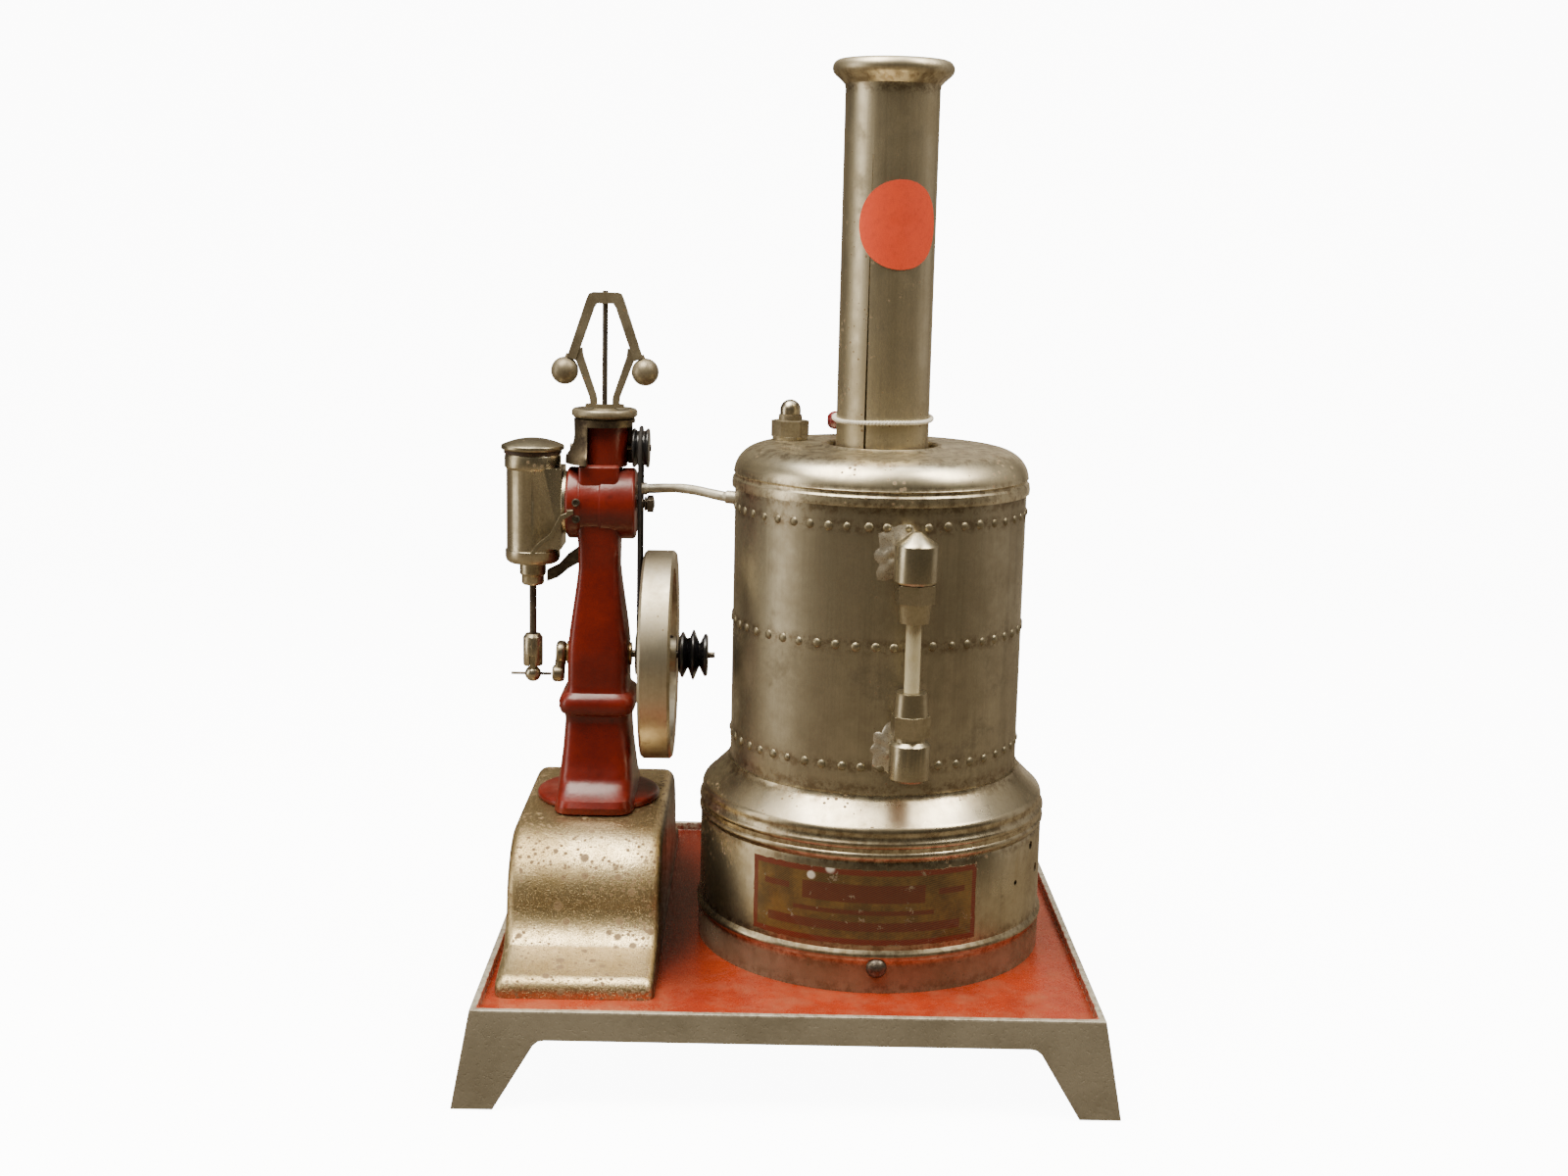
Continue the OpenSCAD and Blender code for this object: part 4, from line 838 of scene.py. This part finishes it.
def build_cap():
    """The cap's bead, its turned edge, and the well that the chimney stands in."""
    bm = bmesh.new()
    r = BOILER_R + 0.85
    shell = [(r - 0.8, 164.2), (r, 164.25), (r + 0.1, 165.4), (r - 0.1, 166.9), (r - 0.75, 167.5),
             (r - 0.8, 168.1), (r - 0.35, 168.7)]
    wide, high = 9.4, 8.6
    spring = CAP_Z - high
    dome = [(x, spring + (z - spring) * high / wide) for x, z in arc(r - 9.8, spring, wide, 4, 90, 14)]
    well = [(19.2, CAP_Z + 0.05), (18.0, CAP_Z + 0.75), (16.9, CAP_Z + 0.7), (16.4, CAP_Z), (16.2, 171.05),
            (0.01, 171.0), (0.01, 170.2), (17.2, 170.2), (17.3, CAP_Z - 0.9)]
    under = [(r - 10, CAP_Z - 0.9), (r - 3.4, CAP_Z - 3.6), (r - 1.0, CAP_Z - 9)]
    add_lathe(bm, shell + dome + well + under, (*BOILER, 0), 192)
    finish_mesh("boiler_cap_pressing", bm, "cap", "root", ["boiler_cap"])


def cut(piece, cutters):
    """Cuts holes in a piece with a closed bmesh in mm."""
    mesh = bpy.data.meshes.new("cutters")
    bmesh.ops.recalc_face_normals(cutters, faces=cutters.faces)
    bmesh.ops.scale(cutters, vec=(MM,) * 3, verts=cutters.verts)
    cutters.to_mesh(mesh)
    cutters.free()
    tool = bpy.data.objects.new("cutters", mesh)
    bpy.context.scene.collection.objects.link(tool)
    holes = piece.modifiers.new("holes", "BOOLEAN")
    holes.object, holes.operation, holes.solver = tool, "DIFFERENCE", "EXACT"
    bpy.context.view_layer.update()
    shaped = bpy.data.meshes.new_from_object(piece.evaluated_get(bpy.context.evaluated_depsgraph_get()))
    piece.modifiers.clear()
    piece.data = shaped
    shaped.set_sharp_from_angle(angle=SMOOTH_ANGLE)
    bpy.data.objects.remove(tool)


def build_firebox():
    """The beaded skirt, with its vent holes and the opening for the inlet block."""
    bm = bmesh.new()
    r = FIREBOX_R
    outer = [(r, FLOOR_Z + 0.02), (r + 0.05, 33.6)] + arc(r - 0.9, 35.2, 1.5, -40, 40, 6) + [(r - 0.35, 37.0)]
    outer += [(r - 0.4, 62.2), (r - 0.9, 63.2)] + arc(r - 1.2, 65.0, 1.3, -52, 50, 6)
    outer += arc(r - 1.2, 68.3, 1.3, -50, 50, 6) + [(r - 0.8, 70.4)]
    outer += arc(r - 3.3, 71.5, 2.6, -8, 60, 7) + [(BOILER_R + 1.7, 79.0), (BOILER_R + 1.05, 79.9),
                                                 (BOILER_R + 0.8, 80.6)]
    inner = [(BOILER_R + 0.05, 80.5), (BOILER_R + 0.05, 78.8), (r - 3.4, 72.0), (r - 1.7, 70.2), (r - 1.4, 35.0),
             (r - 1.1, FLOOR_Z + 0.02)]
    add_lathe(bm, outer + inner, (*BOILER, 0), 192)
    piece = finish_mesh("firebox_skirt", bm, "firebox", "root", ["firebox"])
    cutters = bmesh.new()
    vents = ((63.3, 60.1, 1.3), (70.2, 51.3, 1.5), (52.6, 51.1, 0.8), (-110, 55, 1.4), (118, 55, 1.4))
    for azimuth, z, size in vents:
        add_tube(cutters, [gauge_point(r - 6, z, azimuth), gauge_point(r + 6, z, azimuth)], size, 14)
    corners = [(-11.2, -8), (11.2, -8), (11.2, 8), (-11.2, 8)]
    add_rings(cutters, [[Vector((BOILER[0] + x, BOILER[1] + r + y, 44 + z)) for x, z in corners]
                        for y in (-12, 6)])
    cut(piece, cutters)


def build_decal():
    """The thin curved transfer on the firebox, its rim a little ragged, with a flat UV map for its bars."""
    bm = bmesh.new()
    flat = bm.loops.layers.uv.new("flat")
    left, right, low, high = -42.5, 33.0, 38.6, 61.0
    radius, thick, ragged = FIREBOX_R - 0.36, 0.12, 0.35
    columns, rows = 60, 12
    grid = []
    for side in (0, 1):
        layer = []
        for i in range(columns + 1):
            line = []
            for j in range(rows + 1):
                a = left + (right - left) * (i / columns)
                z = low + (high - low) * (j / rows)
                if i in (0, columns) or j in (0, rows):
                    jitter = noise.noise(Vector((a * 0.9, z * 1.7, 3)))
                    a += jitter * ragged * (i in (0, columns)) * 1.1
                    z += jitter * ragged * (j in (0, rows))
                line.append(bm.verts.new(gauge_point(radius + side * thick, z, a)))
            layer.append(line)
        grid.append(layer)
    for g in grid:
        for i in range(columns):
            for j in range(rows):
                marks = ((i, j), (i + 1, j), (i + 1, j + 1), (i, j + 1))
                face = bm.faces.new([g[m][n] for m, n in marks])
                for loop, (m, n) in zip(face.loops, marks):
                    loop[flat].uv = (m / columns, n / rows)
    rim = [(i, 0) for i in range(columns)] + [(columns, j) for j in range(rows)]
    rim += [(i, rows) for i in range(columns, 0, -1)] + [(0, j) for j in range(rows, 0, -1)]
    for k, (i, j) in enumerate(rim):
        m, n = rim[(k + 1) % len(rim)]
        bm.faces.new((grid[0][i][j], grid[0][m][n], grid[1][m][n], grid[1][i][j]))
    finish_mesh("firebox_decal", bm, "decal", "root")


def solder_blob(name, z, size, seed):
    """An irregular puddle of solder round a gauge fitting; size is half width, half height and shift."""
    bm = bmesh.new()
    half_width, half_height, shift = size
    rings = []
    for k in range(9):
        share = 1 - k / 8
        ring = []
        for i in range(48):
            t = 2 * math.pi * i / 48
            wobble = 1 + 0.32 * noise.noise(Vector((2.2 * math.cos(t), 2.2 * math.sin(t), seed)))
            wobble += 0.12 * noise.noise(Vector((6 * math.cos(t), 6 * math.sin(t), seed)))
            across = half_width * share * wobble * math.cos(t) + shift
            up = half_height * share * wobble * math.sin(t)
            crust = noise.noise(Vector((across * 0.5, up * 0.5, seed + 4)))
            height = 0.03 + 1.15 * (1 - share ** 2.4) * (0.75 + 0.7 * crust)
            ring.append(gauge_point(BOILER_R - 0.1 + max(0.02, height), z + up,
                                    GAUGE_TURN + math.degrees(across / BOILER_R)))
        rings.append(ring)
    azimuths = [math.degrees(math.atan2(p.x - BOILER[0], BOILER[1] - p.y)) for p in rings[0]]
    rings.insert(0, [gauge_point(BOILER_R - 0.3, p.z, a) for p, a in zip(rings[0], azimuths)])
    add_rings(bm, rings)
    finish_mesh(name, bm, "solder", "root", angle=LUMPY_ANGLE)


def build_chimney():
    """The tube with its rolled lip, and the seam that gapes towards its foot."""
    bm = bmesh.new()
    wall, top = 0.6, CHIMNEY_TOP
    r = CHIMNEY_R
    profile = [(r - wall, 171.1), (16.1, 171.1), (16.1, 171.9), (r + 0.3, 172.0), (r, 172.4), (r, top - 8.6),
               (r + 0.25, top - 7.4), (r + 1.4, top - 6.2)]
    profile += arc(r + 1.4, top - 2.9, 2.5, -52, 128, 14) + [(r - 0.1, top - 2.6), (r - wall, top - 4.4)]
    add_lathe(bm, profile, (*BOILER, 0), 160)
    piece = finish_mesh("chimney_tube", bm, "chimney", "root", ["chimney"])
    cutters = bmesh.new()
    slit = [(172.6, 0.42), (190, 0.34), (214, 0.26), (240, 0.16), (262, 0.08)]
    outline = [(z, -w) for z, w in slit] + [(z, w) for z, w in reversed(slit)]
    add_rings(cutters, [[gauge_point(radius, z, -25) + Vector((w, 0, 0)) for z, w in outline]
                        for radius in (r - 3, r + 3)])
    cut(piece, cutters)


def build_sticker():
    """A round paper dot wrapped on the chimney, its edge lifting a little at one side."""
    bm = bmesh.new()
    middle, radius = 12.0, 12.8

    def ring(share, lift):
        points = []
        for k in range(72):
            t = 2 * math.pi * k / 72
            across, up = radius * share * math.cos(t), radius * share * math.sin(t)
            curl = 0.12 * max(0.0, -math.cos(t - 0.5)) ** 6 * share ** 8
            azimuth = middle + math.degrees(across / CHIMNEY_R)
            points.append(gauge_point(CHIMNEY_R + lift + curl, 242.2 + up, azimuth))
        return points

    shares = (0.02, 0.2, 0.4, 0.6, 0.75, 0.87, 0.95, 1.0)
    add_rings(bm, [ring(s, 0.06) for s in shares] + [ring(s, 0.2) for s in reversed(shares)])
    finish_mesh("lot_sticker_dot", bm, "paper", "root", ["lot_sticker"])


def build_string():
    """Two-ply cotton string tied round the chimney's foot."""
    bm = bmesh.new()
    steps = 260
    for ply in (0, 1):
        path = []
        for k in range(steps):
            a = 2 * math.pi * k / steps
            twist = 46 * a + math.pi * ply
            r = CHIMNEY_R + 0.72 + 0.34 * math.cos(twist)
            z = 185.3 + 0.34 * math.sin(twist) + 0.5 * math.sin(a + 0.6) + 0.2 * math.sin(3 * a)
            path.append((BOILER[0] + r * math.cos(a), BOILER[1] + r * math.sin(a), z))
        path.append(path[0])
        add_tube(bm, path, 0.42, 8)
    finish_mesh("tag_string_twist", bm, "string", "root", ["tag_string"], LUMPY_ANGLE)


def build_steam_pipe():
    """The hand-bent pipe, thick with solder at both ends."""
    bm = bmesh.new()
    z = TRUNNION_Z + 4.6
    route = [(-48.6, 3, z), (-44, 3, z + 0.2), (-40, 1.6, z + 0.6), (-36, -0.4, z + 0.9), (-31, -3.4, z + 0.8),
             (-26, -6.8, z + 0.3), (-22, -9.4, z - 0.1), (-17.9, -10.8, z - 0.3)]
    line = spline(route, 8)
    radii = [1.5 + 0.16 * noise.noise(p * 0.22) + (0.5 if p.x < -46 or p.x > -21 else 0.0) for p in line]
    add_tube(bm, line, 1.6, 24, radii)
    finish_mesh("steam_pipe_tube", bm, "pipe", "root", ["steam_pipe"], math.radians(60))


# ---------------------------------------------------------------- governor
def build_balls():
    """The governor's two balls and their stalks."""
    bm = bmesh.new()
    half_circle = [(max(0.01, r), z) for r, z in arc(0, 0, 4.2, -90, 90, 24)]
    for s in (-1, 1):
        centre = Vector((GOVERNOR_X + s * 12.3, ENGINE[1], 196.4))
        add_lathe(bm, half_circle, centre, 48, closed=False)
        add_tube(bm, [centre + Vector((-s * 0.4, 0, 2.6)), centre + Vector((-s * 1.4, 0, 5.0))], 1.0, 16)
    finish_mesh("governor_ball_pair", bm, "governor", "governor_head", ["governor_balls"])


# ---------------------------------------------------------------- nodes that keep their CAD shape
# (node, material, slot, width of the rounded edges, segments)
SOFTENED = [
    ("base_tray", "tray", "base_enamel", 0.9, 3),
    ("base_screws", "steel", "old_steel", 0.2, 2),
    ("column_bolt", "steel", "old_steel", 0.2, 2),
    ("port_plate", "nickel", "nickel", 0.2, 2),
    ("retaining_clip", "bright", "nickel", 0.2, 2),
    ("guide_bracket", "steel", "old_steel", 0.3, 2),
    ("governor_bracket", "bronze", "dark_bronze", 0.3, 2),
    ("cylinder_barrel", "nickel", "nickel", 0.3, 2),
    ("cylinder_cap", "bright", "nickel", 0.25, 2),
    ("cap_gasket", "gasket", "dark_gasket", 0.15, 2),
    ("lower_cover", "nickel", "nickel", 0.25, 2),
    ("gland_nut", "nickel", "nickel", 0.2, 2),
    ("trunnion_nut", "steel", "old_steel", 0.2, 2),
    ("rod_end", "nickel", "nickel", 0.2, 2),
    ("big_end_ball", "nickel", "nickel", 0.12, 2),
    ("flywheel", "wheel", "wheel_nickel", 0.45, 3),
    ("step_pulley", "black", "black_pulley", 0.2, 2),
    ("drive_pulley", "nickel", "nickel", 0.12, 2),
    ("governor_pulley", "black", "black_pulley", 0.2, 2),
    ("governor_disc", "governor", "nickel", 0.25, 2),
    ("governor_yoke", "governor", "nickel", 0.45, 3),
    ("governor_links", "governor", "nickel", 0.3, 2),
    ("inlet_block", "fibre", "fibre_block", 0.35, 2),
    ("gauge_fittings", "bright", "bright_nickel", 0.3, 2),
    ("gauge_nuts", "bright", "bright_nickel", 0.3, 2),
    ("valve_body", "governor", "nickel", 0.25, 2),
    ("valve_plunger", "nickel", "nickel", 0.2, 2),
    ("whistle_body", "nickel", "nickel", 0.2, 2),
]
# nodes that only get a material
PLAIN = {
    "shaft_bushes": "bush", "pipe_union": "solder", "governor_belt": "cord", "trunnion_pin": "steel",
    "trunnion_spring": "steel", "piston": "nickel", "piston_rod": "steel", "crank_pin": "steel",
    "crankshaft": "steel", "set_screws": "steel", "governor_axle": "steel", "friction_wheel": "leather",
    "governor_spindle": "steel", "friction_disc": "nickel", "boiler_bottom": "boiler", "heater_plate": "mica",
    "inlet_pins": "brass", "firebox_screw": "steel", "gauge_glass": "glass", "whistle_lever": "steel",
    "whistle_knob": "knob",
}


def dress_nodes():
    for row in SOFTENED:
        softened(*row)
    for node, material in PLAIN.items():
        mesh = NODES[node].data
        mesh.materials.clear()
        mesh.materials.append(MATERIALS[material])
        for face in mesh.polygons:
            face.use_smooth = True
        mesh.set_sharp_from_angle(angle=SMOOTH_ANGLE)


# ---------------------------------------------------------------- studio, in metres
GLARE = 12.0        # how bright the floor and the room look to the camera itself
WARM = (1.0, 0.94, 0.82)
# (name, place, aimed at, width and height, watts, colour)
LIGHTS = [
    ("top_left_softbox", (-0.28, -0.22, 0.95), (-0.02, 0, 0.1), (0.5, 0.6), 17, WARM),
    ("top_right_softbox", (0.52, -0.18, 0.85), (0.02, 0, 0.1), (0.3, 0.5), 8.5, (1.0, 0.93, 0.80)),
    ("left_strip", (-0.62, -0.14, 0.25), (0, -0.05, 0.15), (0.22, 0.5), 1.3, WARM),
    ("right_panel", (0.62, 0.16, 0.25), (0, 0, 0.15), (0.5, 0.5), 0.3, (1.0, 0.90, 0.76)),
    ("backdrop_light", (0.0, 0.3, 1.9), (0, 0.9, 0.2), (2.6, 0.6), 24, (1.0, 1.0, 1.0)),
]


def make_floor():
    """A pale floor that sweeps up behind the object; the metal mirrors it darker and warmer."""
    bm = bmesh.new()
    line = [(-0.95, -0.0004), (0.75, -0.0004)]
    sweep = [math.radians(a) for a in range(6, 91, 6)]
    line += [(0.75 + 0.5 * math.sin(t), 0.5 - 0.5 * math.cos(t)) for t in sweep]
    line += [(1.25, 2.2)]
    rows = [[bm.verts.new((x, y, z)) for y, z in line] for x in (-2.4, 2.4)]
    for k in range(len(line) - 1):
        bm.faces.new((rows[0][k], rows[1][k], rows[1][k + 1], rows[0][k + 1]))
    mesh = bpy.data.meshes.new("studio_floor")
    bm.to_mesh(mesh)
    bm.free()
    for face in mesh.polygons:
        face.use_smooth = True
    p = Paint("pale_floor")
    cloud = p.noise(p.place(), 3.0, 3.0, 0.5, 1.0)
    seen = p.add("ShaderNodeLightPath").outputs["Is Camera Ray"]
    x, y, _ = p.split(p.place())
    far = p.step(y, 0.35, 1.0)
    middle = p.math("MULTIPLY", p.step(x, 0.08, 0.26), p.step(x, 0.5, 0.9, 1.0, 0.0))
    mirrored = p.colour(p.math("MULTIPLY", far, middle), (0.13, 0.105, 0.07), (0.62, 0.56, 0.46))
    pale = p.colour(cloud, (0.86, 0.86, 0.86), (0.90, 0.90, 0.90))
    mesh.materials.append(p.set(Base_Color=p.colour(seen, mirrored, pale), Roughness=0.85,
                                Emission_Color=pale, Emission_Strength=p.math("MULTIPLY", seen, GLARE)))
    floor = bpy.data.objects.new("studio_floor", mesh)
    bpy.context.scene.collection.objects.link(floor)


def area_light(name, place, target, size, power, colour):
    data = bpy.data.lights.new(name, "AREA")
    data.shape = "RECTANGLE"
    data.size, data.size_y = size
    data.energy = power
    data.color = colour
    lamp = bpy.data.objects.new(name, data)
    lamp.location = place
    lamp.rotation_euler = (Vector(target) - Vector(place)).to_track_quat("-Z", "Y").to_euler()
    bpy.context.scene.collection.objects.link(lamp)


def make_lights():
    world = bpy.data.worlds.new("room")
    bpy.context.scene.world = world
    world.use_nodes = True
    w = Tree(world.node_tree)
    back = world.node_tree.nodes["Background"]
    seen = w.add("ShaderNodeLightPath").outputs["Is Camera Ray"]
    w.put(w.colour(seen, (0.072, 0.060, 0.042), (GLARE, GLARE, GLARE)), back.inputs["Color"])
    for row in LIGHTS:
        area_light(*row)


def make_camera():
    """The camera, with its tilt, yaw and roll in radians and its place in mm."""
    tilt, yaw, roll = 0.1827, 0.0102, 0.0227
    place = Vector((-8.94, -585.09, 238.79))
    data = bpy.data.cameras.new("studio_camera")
    data.lens, data.sensor_width = 43.94, 36.0
    data.clip_start, data.clip_end = 0.01, 20.0
    camera = bpy.data.objects.new("studio_camera", data)
    bpy.context.scene.collection.objects.link(camera)
    ahead = Vector((math.sin(yaw) * math.cos(tilt), math.cos(yaw) * math.cos(tilt), -math.sin(tilt)))
    turn = ahead.to_track_quat("-Z", "Y").to_matrix().to_4x4() @ Matrix.Rotation(roll, 4, "Z")
    camera.matrix_world = Matrix.Translation(place * MM) @ turn
    bpy.context.scene.camera = camera


dress_nodes()
build_pedestal()
build_column()
build_drum_screws()
build_crank_web()
build_shell()
build_rivets()
build_cap()
build_firebox()
build_decal()
solder_blob("solder_top", 151.0, (7.6, 8.6, -2.6), 5.0)
solder_blob("solder_bottom", 94.5, (6.6, 7.0, -3.2), 11.0)
build_chimney()
build_sticker()
build_string()
build_steam_pipe()
build_balls()
make_floor()
make_lights()
make_camera()
